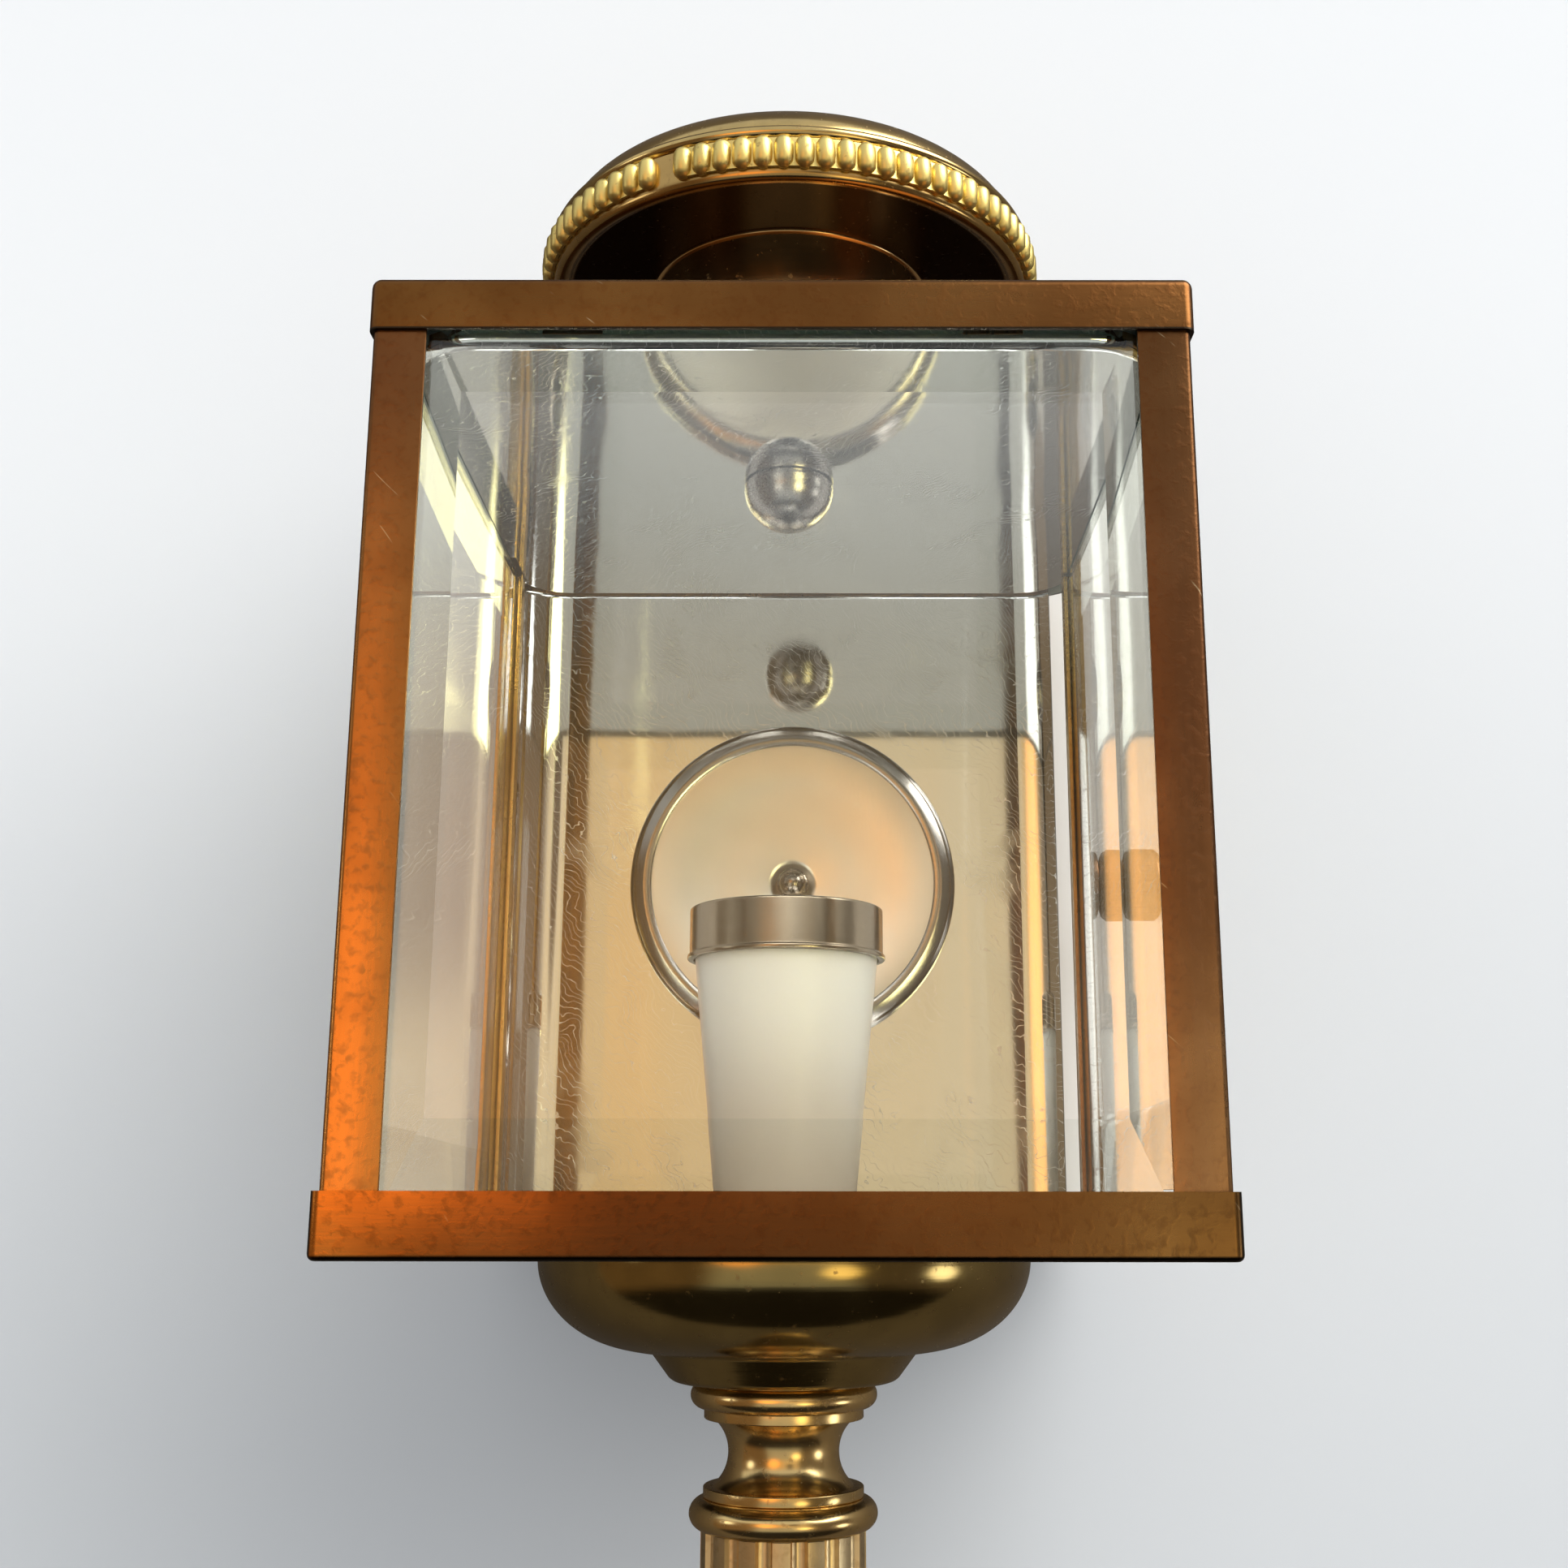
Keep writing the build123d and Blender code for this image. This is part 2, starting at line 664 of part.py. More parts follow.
lid_finial -= disc(rod_bore, lid_top - 1, rod_end + layer_gap)
save("lid_finial", lid_finial)


def on_wall_axis(outline):
    """Solid turned about the stud; the outline is (radius, distance in front of the liner)."""
    solid = revolve(Plane.XZ * outline, Axis.Z)
    return Pos(0, liner_face_y, 0) * Rot(90, 0, 0) * solid


# Round reflector, a dished disc with a rolled rim and a dimple for its nut
rim_middle_r = reflector_radius - reflector_rim_radius
rim_middle_d = reflector_rim_radius + end_play
dish_edge_r = rim_middle_r - reflector_rim_radius / 2
dish_edge_d = rim_middle_d + reflector_rim_radius / 2
dish_low_d = dimple_depth + reflector_sheet
dish_mid_r = (dish_edge_r + dimple_radius) / 2
dish_mid_d = dish_low_d + reflector_bow
seat_r = reflector_nut_radius + layer_gap
stud_clear = stud_radius + running_fit


def dish_face(setback):
    """Front line of the dish from the stud outwards, moved back by a sheet."""
    return [
        Line((stud_clear, reflector_sheet + end_play - setback), (seat_r, reflector_sheet + end_play - setback)),
        Line((seat_r, reflector_sheet + end_play - setback), (dimple_radius, dish_low_d - setback)),
        ThreePointArc((dimple_radius, dish_low_d - setback), (dish_mid_r, dish_mid_d - setback),
                      (dish_edge_r, dish_edge_d - setback))]


dish_outline = make_face(Curve() + dish_face(0) + dish_face(reflector_sheet) + [
    Line((stud_clear, end_play), (stud_clear, reflector_sheet + end_play)),
    Line((dish_edge_r, dish_edge_d), (dish_edge_r, dish_edge_d - reflector_sheet))])
round_reflector = on_wall_axis(dish_outline)
round_reflector += Pos(0, liner_face_y - rim_middle_d, 0) * Rot(90, 0, 0) * Torus(
    rim_middle_r, reflector_rim_radius)
save("round_reflector", round_reflector)

# Reflector nut, a small domed nut on the stud
nut_seat_y = liner_face_y - reflector_sheet - 2 * end_play
nut_dome_y = nut_seat_y - reflector_nut_base
nut_body = Pos(0, (nut_seat_y + nut_dome_y) / 2, 0) * Rot(90, 0, 0) * Cylinder(
    reflector_nut_radius, reflector_nut_base)
nut_dome = Pos(0, nut_dome_y, 0) * Sphere(reflector_nut_dome)
nut_dome &= slab(-dimple_radius, dimple_radius, nut_dome_y - dimple_radius, nut_dome_y,
                 -dimple_radius, dimple_radius)
stud_end_y = nut_seat_y - stud_engagement
nut_bore = Pos(0, nut_seat_y - stud_engagement / 2, 0) * Rot(90, 0, 0) * Cylinder(
    stud_clear, stud_engagement + 2 * end_play)
save("reflector_nut", nut_body + nut_dome - nut_bore)

# Wall stud, whose head lies behind the bracket's crown
crown_rear_y = back_y + bracket_sheet
stud = Pos(0, (stud_end_y + crown_rear_y) / 2, 0) * Rot(90, 0, 0) * Cylinder(
    stud_radius, crown_rear_y - stud_end_y)
stud += Pos(0, crown_rear_y + stud_head_height / 2, 0) * Rot(90, 0, 0) * Cylinder(
    stud_head_radius, stud_head_height)
save("wall_stud", stud)

# Wall bracket, a hat-shaped steel strap with two screw holes
strap_rise = bracket_depth - bracket_sheet
crown_half = bracket_crown / 2
strap_half = bracket_length / 2
strap = Polyline(
    (-bracket_depth, crown_half), (-bracket_sheet, crown_half + strap_rise), (-bracket_sheet, strap_half),
    (0, strap_half), (0, crown_half + strap_rise - bracket_sheet / 2),
    (-strap_rise, crown_half - bracket_sheet / 2),
    (-strap_rise, bracket_sheet / 2 - crown_half), (0, bracket_sheet / 2 - crown_half - strap_rise),
    (0, -strap_half), (-bracket_sheet, -strap_half), (-bracket_sheet, -crown_half - strap_rise),
    (-bracket_depth, -crown_half), close=True)
wall_bracket = extrude(Plane.YZ * make_face(strap), bracket_width / 2, both=True)
for screw_z in (-wall_screw_spacing / 2, wall_screw_spacing / 2):
    wall_bracket -= Pos(0, -bracket_sheet / 2, screw_z) * Rot(90, 0, 0) * Cylinder(
        wall_screw_radius, 2 * bracket_sheet)
wall_bracket -= Pos(0, back_y, 0) * Rot(90, 0, 0) * Cylinder(stud_clear, 2 * strap_rise)
save("wall_bracket", wall_bracket)

# Wall pads, rubber feet that keep the lower back off the wall
wall_pads = Part()
for pad_x in (-pad_spread, pad_spread):
    wall_pads += Pos(pad_x, back_y / 2, -pad_drop) * Rot(90, 0, 0) * Cylinder(pad_radius, bracket_depth)
save("wall_pads", wall_pads)

# Lampholder ring, a nickel collar with a small bead and an inward lip
ring_top = tray_top + holder_top
ring_bottom = ring_top - holder_ring_height
ring_inner = holder_ring_radius - holder_ring_sheet
holder_ring = disc(holder_ring_radius, ring_bottom, ring_top) - disc(ring_inner, ring_bottom - 1,
                                                                     ring_top - holder_ring_sheet)
holder_ring -= disc(holder_ring_radius - holder_lip, ring_bottom, ring_top + 1)
holder_ring += Pos(0, axis_y, ring_bottom + holder_ring_bead) * Torus(
    holder_ring_radius + holder_bead_proud - holder_ring_bead, holder_ring_bead)
holder_ring -= disc(ring_inner, ring_bottom - 1, ring_bottom + 2 * holder_ring_bead)
save("lampholder_ring", holder_ring)

# Lampholder sleeve, a tapered white tube that stands on the floor plate
sleeve_top = ring_bottom + sleeve_tuck
save("lampholder_sleeve", turned_polygon([
    (sleeve_bottom_radius, plate_top), (sleeve_top_radius, sleeve_top),
    (sleeve_top_radius - sleeve_wall, sleeve_top), (sleeve_bottom_radius - sleeve_wall, plate_top)]))

# Lampholder insert and its threaded shell for an E27 bulb cap
insert_top = ring_top - holder_ring_sheet
shell_top = insert_top - shell_setback
shell_bottom = shell_top - shell_depth
shell_radius = shell_bore_radius + shell_wall
cup_bottom = shell_bottom - contact_rise - 2 * contact_thickness
insert_bottom = cup_bottom - insert_floor
save("lampholder_insert", turned_polygon([
    (contact_hole_radius, insert_bottom), (insert_radius, insert_bottom), (insert_radius, insert_top),
    (shell_radius, insert_top), (shell_radius, cup_bottom), (contact_hole_radius, cup_bottom)]))
save("lampholder_shell", disc(shell_radius, shell_bottom, shell_top)
     - disc(shell_bore_radius, shell_bottom - 1, shell_top + 1))

# Centre contact, a bent leaf at the bottom of the shell
leaf_half = contact_width / 2
leaf_reach = contact_span / 2
leaf_top = cup_bottom + contact_rise + contact_thickness
leaf_outline = make_face(Polyline(
    (-leaf_reach, cup_bottom), (-leaf_half, cup_bottom), (0, leaf_top - contact_thickness),
    (leaf_half, leaf_top - contact_thickness), (leaf_half, leaf_top),
    (-contact_thickness, leaf_top), (-leaf_half - contact_thickness, cup_bottom + contact_thickness),
    (-leaf_reach, cup_bottom + contact_thickness), close=True))
contact = Pos(0, axis_y, 0) * extrude(Plane.YZ * leaf_outline, leaf_half, both=True)
save("centre_contact", contact)

# Lampholder base, an insulator screwed onto the centre tube
base_bottom = insert_bottom - base_height
tube_top = base_bottom + tube_socket
tube_clear = tube_radius + running_fit
lampholder_base = disc(base_radius, base_bottom, insert_bottom)
lampholder_base -= disc(tube_clear, base_bottom - 1, tube_top + layer_gap)
lampholder_base -= disc(tube_bore, base_bottom, insert_bottom - insert_floor)
save("lampholder_base", lampholder_base)


# Outline of the bowl: belly, cove, sloping skirt and rounded foot
rim_z = floor_under - bowl_rim
belly_r = bowl_radius - bowl_belly_reach
belly_z = rim_z - bowl_belly_height
cove_z = belly_z - bowl_cove_radius
skirt_sine = math.sin(math.radians(bowl_skirt_angle))
skirt_cosine = math.cos(math.radians(bowl_skirt_angle))
skirt_end_r = belly_r - bowl_cove_radius * skirt_sine - bowl_skirt_length * skirt_cosine
skirt_end_z = cove_z + bowl_cove_radius * skirt_cosine - bowl_skirt_length * skirt_sine
foot_r = skirt_end_r - bowl_foot_round * skirt_sine
foot_z = skirt_end_z + bowl_foot_round * skirt_cosine
bowl_bottom = foot_z - bowl_foot_round


def skirt_point(centre_r, centre_z, radius, turn):
    """Point on a round of the outline, a turn away from straight below or above its centre."""
    return (centre_r + radius * math.sin(math.radians(turn)), centre_z - radius * math.cos(math.radians(turn)))


def bowl_solid(inset):
    """Body of the bowl, with its outside moved inwards by a distance."""
    outer_r = bowl_radius - inset
    top = floor_under - inset
    cove_radius = bowl_cove_radius + inset
    foot_radius = bowl_foot_round - inset
    cove_start = (belly_r, cove_z + cove_radius)
    cove_crest = skirt_point(belly_r, cove_z, -cove_radius, bowl_skirt_angle / 2)
    cove_end = skirt_point(belly_r, cove_z, -cove_radius, bowl_skirt_angle)
    foot_start = skirt_point(foot_r, foot_z, foot_radius, bowl_skirt_angle)
    foot_crest = skirt_point(foot_r, foot_z, foot_radius, bowl_skirt_angle / 2)
    foot_end = (foot_r, foot_z - foot_radius)
    return turned(
        Line((0, top), (outer_r, top)),
        Line((outer_r, top), (outer_r, rim_z)),
        EllipticalCenterArc((belly_r, rim_z), bowl_belly_reach - inset, bowl_belly_height - inset, -90, arc_size=90),
        ThreePointArc(cove_start, cove_crest, cove_end),
        Line(cove_end, foot_start),
        ThreePointArc(foot_start, foot_crest, foot_end),
        Line(foot_end, (0, foot_end[1])),
        Line((0, foot_end[1]), (0, top)))


# Bowl, a spun brass shell closed by the floor tray, with a hole for the supply lead
grommet_z = floor_under - grommet_drop
grommet_y = axis_y + bowl_radius
grommet_hole = Pos(0, grommet_y, grommet_z) * Rot(90, 0, 0) * Cylinder(grommet_radius, 3 * grommet_length)
bowl = bowl_solid(0) - bowl_solid(bowl_sheet)
bowl -= disc(bowl_radius - bowl_lip, floor_under - 2 * bowl_sheet, floor_under + 1)
bowl -= disc(tube_clear, bowl_bottom - 1, bowl_bottom + 2 * bowl_sheet)
bowl -= grommet_hole
save("bowl", bowl)

# Cable grommet in the back of the bowl
grommet = Rot(90, 0, 0) * (Cylinder(grommet_radius, grommet_length) - Cylinder(grommet_bore, 2 * grommet_length))
save("cable_grommet", Pos(0, grommet_y, grommet_z) * grommet)

# Terminal block under the floor tray, in front of the centre tube
terminal_y = axis_y - terminal_width - tube_radius
terminal_block = slab(-terminal_length / 2, terminal_length / 2, terminal_y - terminal_width / 2,
                      terminal_y + terminal_width / 2, floor_under - terminal_height, floor_under)
for pole in (-1, 0, 1):
    pole_x = pole * terminal_length / 3
    terminal_block -= Pos(pole_x, terminal_y, floor_under - terminal_height / 2) * Rot(90, 0, 0) * Cylinder(
        terminal_bore, 2 * terminal_width)
save("terminal_block", terminal_block)

# Nuts on the centre tube, above the floor and inside the bowl
save("floor_nut", hexagon_nut(plate_top, tube_clear))
save("bowl_nut", hexagon_nut(bowl_bottom + bowl_sheet, tube_clear))

# Turned stem: bead, ring, scotia and lower ring
ring_z = bowl_bottom - stem_bead_height
scotia_z = ring_z - stem_ring_height
lower_ring_z = scotia_z - scotia_height
stem_bottom = lower_ring_z - lower_ring_height
bead_in = stem_bead_radius - stem_bead_height / 2
turned_stem = turned(
    Line((tube_clear, bowl_bottom), (bead_in, bowl_bottom)),
    ThreePointArc((bead_in, bowl_bottom), (stem_bead_radius, (bowl_bottom + ring_z) / 2), (bead_in, ring_z)),
    Line((bead_in, ring_z), (stem_ring_radius, ring_z)),
    Line((stem_ring_radius, ring_z), (stem_ring_radius, scotia_z)),
    Line((stem_ring_radius, scotia_z), (scotia_end_radius, scotia_z)),
    ThreePointArc((scotia_end_radius, scotia_z), (scotia_neck_radius, (scotia_z + lower_ring_z) / 2),
                  (scotia_end_radius, lower_ring_z)),
    Line((scotia_end_radius, lower_ring_z), (stem_ring_radius, lower_ring_z)),
    Line((stem_ring_radius, lower_ring_z), (stem_ring_radius, stem_bottom)),
    Line((stem_ring_radius, stem_bottom), (tube_clear, stem_bottom)),
    Line((tube_clear, stem_bottom), (tube_clear, bowl_bottom)))
save("turned_stem", turned_stem)


def bead_with_spigot(top, height, radius, spigot_down):
    """Round bead whose spigot enters the column."""
    flat = radius - height / 2
    bead_solid = turned(
        Line((0, top), (flat, top)),
        ThreePointArc((flat, top), (radius, top - height / 2), (flat, top - height)),
        Line((flat, top - height), (0, top - height)),
        Line((0, top - height), (0, top)))
    spigot_r = column_radius - column_wall - running_fit
    start = top - height if spigot_down else top
    end = start - spigot_length if spigot_down else start + spigot_length
    bead_solid += disc(spigot_r, min(start, end), max(start, end))
    return bead_solid


# Column ring between stem and column
column_top = stem_bottom - ring_bead_height
column_ring = bead_with_spigot(stem_bottom, ring_bead_height, ring_bead_radius, True)
column_ring -= disc(tube_clear, column_top - spigot_length - 1, stem_bottom + 1)
save("column_ring", column_ring)

# Fluted column, a tube with round-bottomed flutes
column_bottom = column_top - column_length
column_plan = Circle(column_radius) - Circle(column_radius - column_wall)
flute_middle = column_radius - flute_depth + flute_radius
for flute in PolarLocations(flute_middle, flute_count, start_angle=-90):
    column_plan -= flute * Circle(flute_radius)
save("fluted_column", extrude(Pos(0, axis_y, column_bottom) * column_plan, column_length))

# Column foot, a bead over a hollow cone that ends the column
foot_bead_z = column_bottom - foot_bead_height
foot_bottom = foot_bead_z - foot_cove_height
foot_top_r = ring_bead_radius - foot_bead_height / 2
column_foot = bead_with_spigot(column_bottom, foot_bead_height, ring_bead_radius, False)
column_foot += turned(
    Line((0, foot_bead_z), (foot_top_r, foot_bead_z)),
    EllipticalCenterArc((foot_top_r, foot_bottom), foot_top_r - foot_end_radius, foot_cove_height, 90, arc_size=90),
    Line((foot_end_radius, foot_bottom), (0, foot_bottom)),
    Line((0, foot_bottom), (0, foot_bead_z)))
column_foot -= disc(tube_clear, foot_bottom - 1, column_bottom + spigot_length + 1)
save("column_foot", column_foot)

# Bottom finial, a ball with a small tip that closes the centre tube
ball_z = foot_bottom - ball_neck_height - ball_radius
tube_bottom = ball_z
bottom_finial = disc(ball_neck_radius, ball_z, foot_bottom)
bottom_finial += Pos(0, axis_y, ball_z) * Sphere(ball_radius)
bottom_finial += Pos(0, axis_y, ball_z - ball_radius) * Sphere(tip_radius)
bottom_finial -= disc(tube_clear, tube_bottom - layer_gap, foot_bottom + 1)
save("bottom_finial", bottom_finial)

# Centre tube, from the lampholder down to the finial
save("centre_tube", disc(tube_radius, tube_bottom, tube_top) - disc(tube_bore, tube_bottom - 1, tube_top + 1))
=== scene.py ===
import math

import bmesh
import bpy
from mathutils import Matrix, Vector


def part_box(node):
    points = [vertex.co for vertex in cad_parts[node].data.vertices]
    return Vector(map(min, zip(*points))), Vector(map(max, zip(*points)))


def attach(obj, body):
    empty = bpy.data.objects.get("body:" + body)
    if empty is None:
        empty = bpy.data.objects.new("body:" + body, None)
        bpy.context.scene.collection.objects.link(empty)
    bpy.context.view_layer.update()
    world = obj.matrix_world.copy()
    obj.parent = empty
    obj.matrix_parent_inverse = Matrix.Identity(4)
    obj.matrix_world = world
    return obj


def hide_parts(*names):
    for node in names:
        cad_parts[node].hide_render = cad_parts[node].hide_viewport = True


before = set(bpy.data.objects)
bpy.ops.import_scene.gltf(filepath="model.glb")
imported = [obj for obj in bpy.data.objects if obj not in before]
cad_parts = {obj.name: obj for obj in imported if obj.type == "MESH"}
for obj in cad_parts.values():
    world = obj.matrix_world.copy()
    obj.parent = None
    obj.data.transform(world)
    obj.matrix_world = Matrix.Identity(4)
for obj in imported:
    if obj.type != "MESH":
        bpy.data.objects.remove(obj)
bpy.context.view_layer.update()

mm = 0.001


# Camera: close in front of the lantern, level with its floor and tilted upwards, so that the
# uprights lean together towards the roof.
camera_place = Vector((8.03, -482.0, -82.66)) * mm
yaw, pitch, roll = math.radians(-0.09), math.radians(13.18), math.radians(0.07)
forward = Vector((math.sin(yaw) * math.cos(pitch), math.cos(yaw) * math.cos(pitch), math.sin(pitch)))
level_right = Vector((math.cos(yaw), -math.sin(yaw), 0))
level_up = level_right.cross(forward)
camera_right = math.cos(roll) * level_right + math.sin(roll) * level_up
camera_up = math.cos(roll) * level_up - math.sin(roll) * level_right
camera = bpy.data.objects.new("camera", bpy.data.cameras.new("camera"))
bpy.context.scene.collection.objects.link(camera)
camera_turn = Matrix((camera_right, camera_up, -forward)).transposed()
camera.matrix_world = Matrix.Translation(camera_place) @ camera_turn.to_4x4()
camera.data.lens = 40.6
camera.data.shift_x = -0.02273
camera.data.sensor_width = 36.0
camera.data.clip_start = 0.01
bpy.context.scene.camera = camera
bpy.context.scene.view_settings.view_transform = "Standard"


class Signal:
    """A value on its way through a finish; arithmetic on it adds Math nodes."""

    def __init__(self, finish, socket):
        self.finish = finish
        self.socket = socket

    def math(self, operation, first, second=0.0):
        return self.finish.node("ShaderNodeMath", {"operation": operation}, {0: first, 1: second})

    def __add__(self, other):
        return self.math("ADD", self, other)

    def __sub__(self, other):
        return self.math("SUBTRACT", self, other)

    def __rsub__(self, other):
        return self.math("SUBTRACT", other, self)

    def __mul__(self, other):
        return self.math("MULTIPLY", self, other)

    def between(self, low, high):
        """0 below the low value, 1 above the high one and smooth in between."""
        settings = {"interpolation_type": "SMOOTHSTEP"}
        return self.finish.node("ShaderNodeMapRange", settings,
                                {"Value": self, "From Min": low, "From Max": high})

    __radd__ = __add__
    __rmul__ = __mul__


class Finish:
    """A node tree that is built up one node at a time, with its patterns in metres on the object."""

    def __init__(self, name, colour=(0.8, 0.8, 0.8), metallic=0.0, roughness=0.5, owner=None, **fixed):
        self.owner = owner or bpy.data.materials.new(name)
        self.owner.use_nodes = True
        self.tree = self.owner.node_tree
        self.shader = self.tree.nodes.get("Principled BSDF")
        if self.shader:
            self.feed("Base Color", (*colour, 1))
            self.feed("Metallic", metallic)
            self.feed("Roughness", roughness)
        for socket, value in fixed.items():
            self.feed(socket.replace("_", " "), value)

    def join(self, value, socket):
        if isinstance(value, Signal):
            self.tree.links.new(value.socket, socket)
        else:
            socket.default_value = value

    def node(self, kind, settings=None, inputs=None, output=0):
        """New node with its settings and its inputs, each a value or another node's signal."""
        made = self.tree.nodes.new(kind)
        for name, value in (settings or {}).items():
            setattr(made, name, value)
        for name, value in (inputs or {}).items():
            self.join(value, made.inputs[name])
        return Signal(self, made.outputs[output])

    def feed(self, socket, value):
        self.join(value, self.shader.inputs[socket])

    def place(self, stretch=(1, 1, 1)):
        """Object coordinates, drawn out along an axis where its factor is small."""
        spot = self.node("ShaderNodeTexCoord", output="Object")
        return self.node("ShaderNodeMapping", None, {"Vector": spot, "Scale": stretch})

    def height(self, axis="Z"):
        spot = self.node("ShaderNodeTexCoord", output="Object")
        return self.node("ShaderNodeSeparateXYZ", None, {0: spot}, output=axis)

    def noise(self, size, detail=3.0, stretch=(1, 1, 1), distortion=0.0):
        """Cloudy pattern whose patches are about the given size in metres."""
        inputs = {"Vector": self.place(stretch), "Scale": 1 / size, "Detail": detail,
                  "Distortion": distortion}
        return self.node("ShaderNodeTexNoise", None, inputs)

    def blend(self, factor, first, second, kind="MIX"):
        """Colour between two colours, or the first one multiplied by the second."""
        settings = {"data_type": "RGBA", "blend_type": kind}
        first = (*first, 1) if isinstance(first, tuple) else first
        second = (*second, 1) if isinstance(second, tuple) else second
        return self.node("ShaderNodeMix", settings, {0: factor, 6: first, 7: second}, output=2)

    def bump(self, height, depth):
        """Normal for a relief that is depth metres high where the height is 1."""
        self.feed("Normal", self.node("ShaderNodeBump", None, {"Distance": depth, "Height": height}))


# Wall: smooth pale plaster behind the lamp, clear from behind, so that the back of the lamp can
# be looked at. Outer metal mirrors it as a dark wall, and through glass it also glows a little.
wall_mesh = bmesh.new()
bmesh.ops.create_grid(wall_mesh, x_segments=1, y_segments=1, size=6.0,
                      matrix=Matrix.Translation((0, 0.0006, 0)) @ Matrix.Rotation(math.pi / 2, 4, "X"))
wall_data = bpy.data.meshes.new("wall")
wall_mesh.to_mesh(wall_data)
wall = bpy.data.objects.new("wall", wall_data)
bpy.context.scene.collection.objects.link(wall)
plaster = Finish("pale_plaster", (0.8, 0.81, 0.84), roughness=0.75)
# Darker towards the bottom: painted shade, as the light falls from above.
plaster_with_painted_shade = plaster.blend(plaster.height().between(-0.3, 0.2), (0.58, 0.6, 0.615), (0.83, 0.84, 0.85))
plaster_with_painted_shade = plaster.blend(plaster.noise(0.3, 2.0) * 0.3, plaster_with_painted_shade, (0.8, 0.8, 0.82))
bounced = plaster.node("ShaderNodeLightPath", output="Is Glossy Ray")
passed = plaster.node("ShaderNodeLightPath", output="Is Transmission Ray")
plaster.feed("Base Color", plaster.blend(bounced * (1 - passed), plaster_with_painted_shade, (0.1, 0.08, 0.06)))
plaster.feed("Emission Color", plaster.blend(passed, (0, 0, 0), (0.2, 0.15, 0.1)))
plaster.feed("Emission Strength", 1.0)
facing = plaster.node("ShaderNodeNewGeometry", output="Backfacing")
clear = plaster.node("ShaderNodeBsdfTransparent")
solid = Signal(plaster, plaster.shader.outputs[0])
shown = plaster.node("ShaderNodeMixShader", None, {0: facing, 1: solid, 2: clear})
plaster.join(shown, plaster.tree.nodes["Material Output"].inputs["Surface"])
wall_data.materials.append(plaster.owner)


# Light: a soft window high on the right and an even pale light are on dull surfaces in the open.
# Outer metal mirrors a staged room of bands instead, and what lies behind glass sees that room
# with more light in front of the lamp.
world = bpy.data.worlds.new("room")
bpy.context.scene.world = world
room = Finish("room", owner=world)
direction = room.node("ShaderNodeTexCoord", output="Generated")
upward = room.node("ShaderNodeSeparateXYZ", None, {0: direction}, output="Z")
sideward = room.node("ShaderNodeSeparateXYZ", None, {0: direction}, output="X")
warm = room.blend(sideward.between(-0.12, 0.06), (0.9, 0.56, 0.24), (0.82, 0.64, 0.4))
pale = room.blend(upward.between(-0.52, -0.43), (0.85, 0.88, 0.86), (0.5, 0.48, 0.42))
mirrored = room.blend(upward.between(-0.1, 0.01), pale, warm)
mirrored = room.blend(sideward.between(-0.62, -0.42), (0.2, 0.13, 0.07), mirrored)
mirrored = room.blend(sideward.between(0.42, 0.62), mirrored, (0.13, 0.1, 0.07))
mirrored = room.blend(upward.between(-0.84, -0.6), (0.03, 0.025, 0.02), mirrored)
mirrored = room.blend(upward.between(0.27, 0.4), mirrored, (0.75, 0.78, 0.78))


def glow(colour, azimuth, elevation, outer, inner, light):
    """Adds a soft round glow in one direction to a colour of the room; its edges are in degrees."""
    turn, tilt = math.radians(azimuth), math.radians(elevation)
    line = (math.sin(turn) * math.cos(tilt), -math.cos(turn) * math.cos(tilt), math.sin(tilt))
    nearness = room.node("ShaderNodeVectorMath", {"operation": "DOT_PRODUCT"}, {0: direction, 1: line},
                         output="Value")
    share = nearness.between(math.cos(math.radians(outer)), math.cos(math.radians(inner)))
    return room.blend(share, colour, light)


mirrored = glow(mirrored, -19, 6, 15, 3, (2.2, 1.05, 0.35))
mirrored = glow(mirrored, 14, 13, 9, 4, (0.1, 0.08, 0.06))
mirrored = glow(mirrored, 78, -12, 9, 6, (3.5, 3.5, 3.4))
mirrored = glow(mirrored, -70, 8, 9, 5, (2.4, 2.4, 2.3))
even = (0.66, 0.68, 0.7)
window = (9.5, 9.3, 8.9)
mirrored = glow(mirrored, 58, 45, 27, 14, window)
even = glow(even, 58, 45, 42, 12, (5.4, 5.4, 5.3))
inside = glow(mirrored, 5, 50, 34, 18, (5.8, 5.8, 5.7))
inside = glow(inside, 27, -12, 13, 5, (12.0, 10.8, 5.2))
inside = glow(inside, -26, -14, 13, 7, (2.4, 2.4, 2.2))
outside = glow(mirrored, 27, -12, 11, 3, (3.0, 2.4, 1.2))
outside = room.blend(upward.between(-0.6, -0.4), (0.015, 0.012, 0.009), outside)
sent = room.node("ShaderNodeLightPath", output="Is Glossy Ray")
passed = room.node("ShaderNodeLightPath", output="Is Transmission Ray")
room_colour = room.blend(sent, even, room.blend(passed, outside, inside))
seen = room.node("ShaderNodeLightPath", output="Is Camera Ray")
room_colour = room.blend(seen, room_colour, (0.88, 0.89, 0.91))
room.join(room_colour, room.tree.nodes["Background"].inputs["Color"])
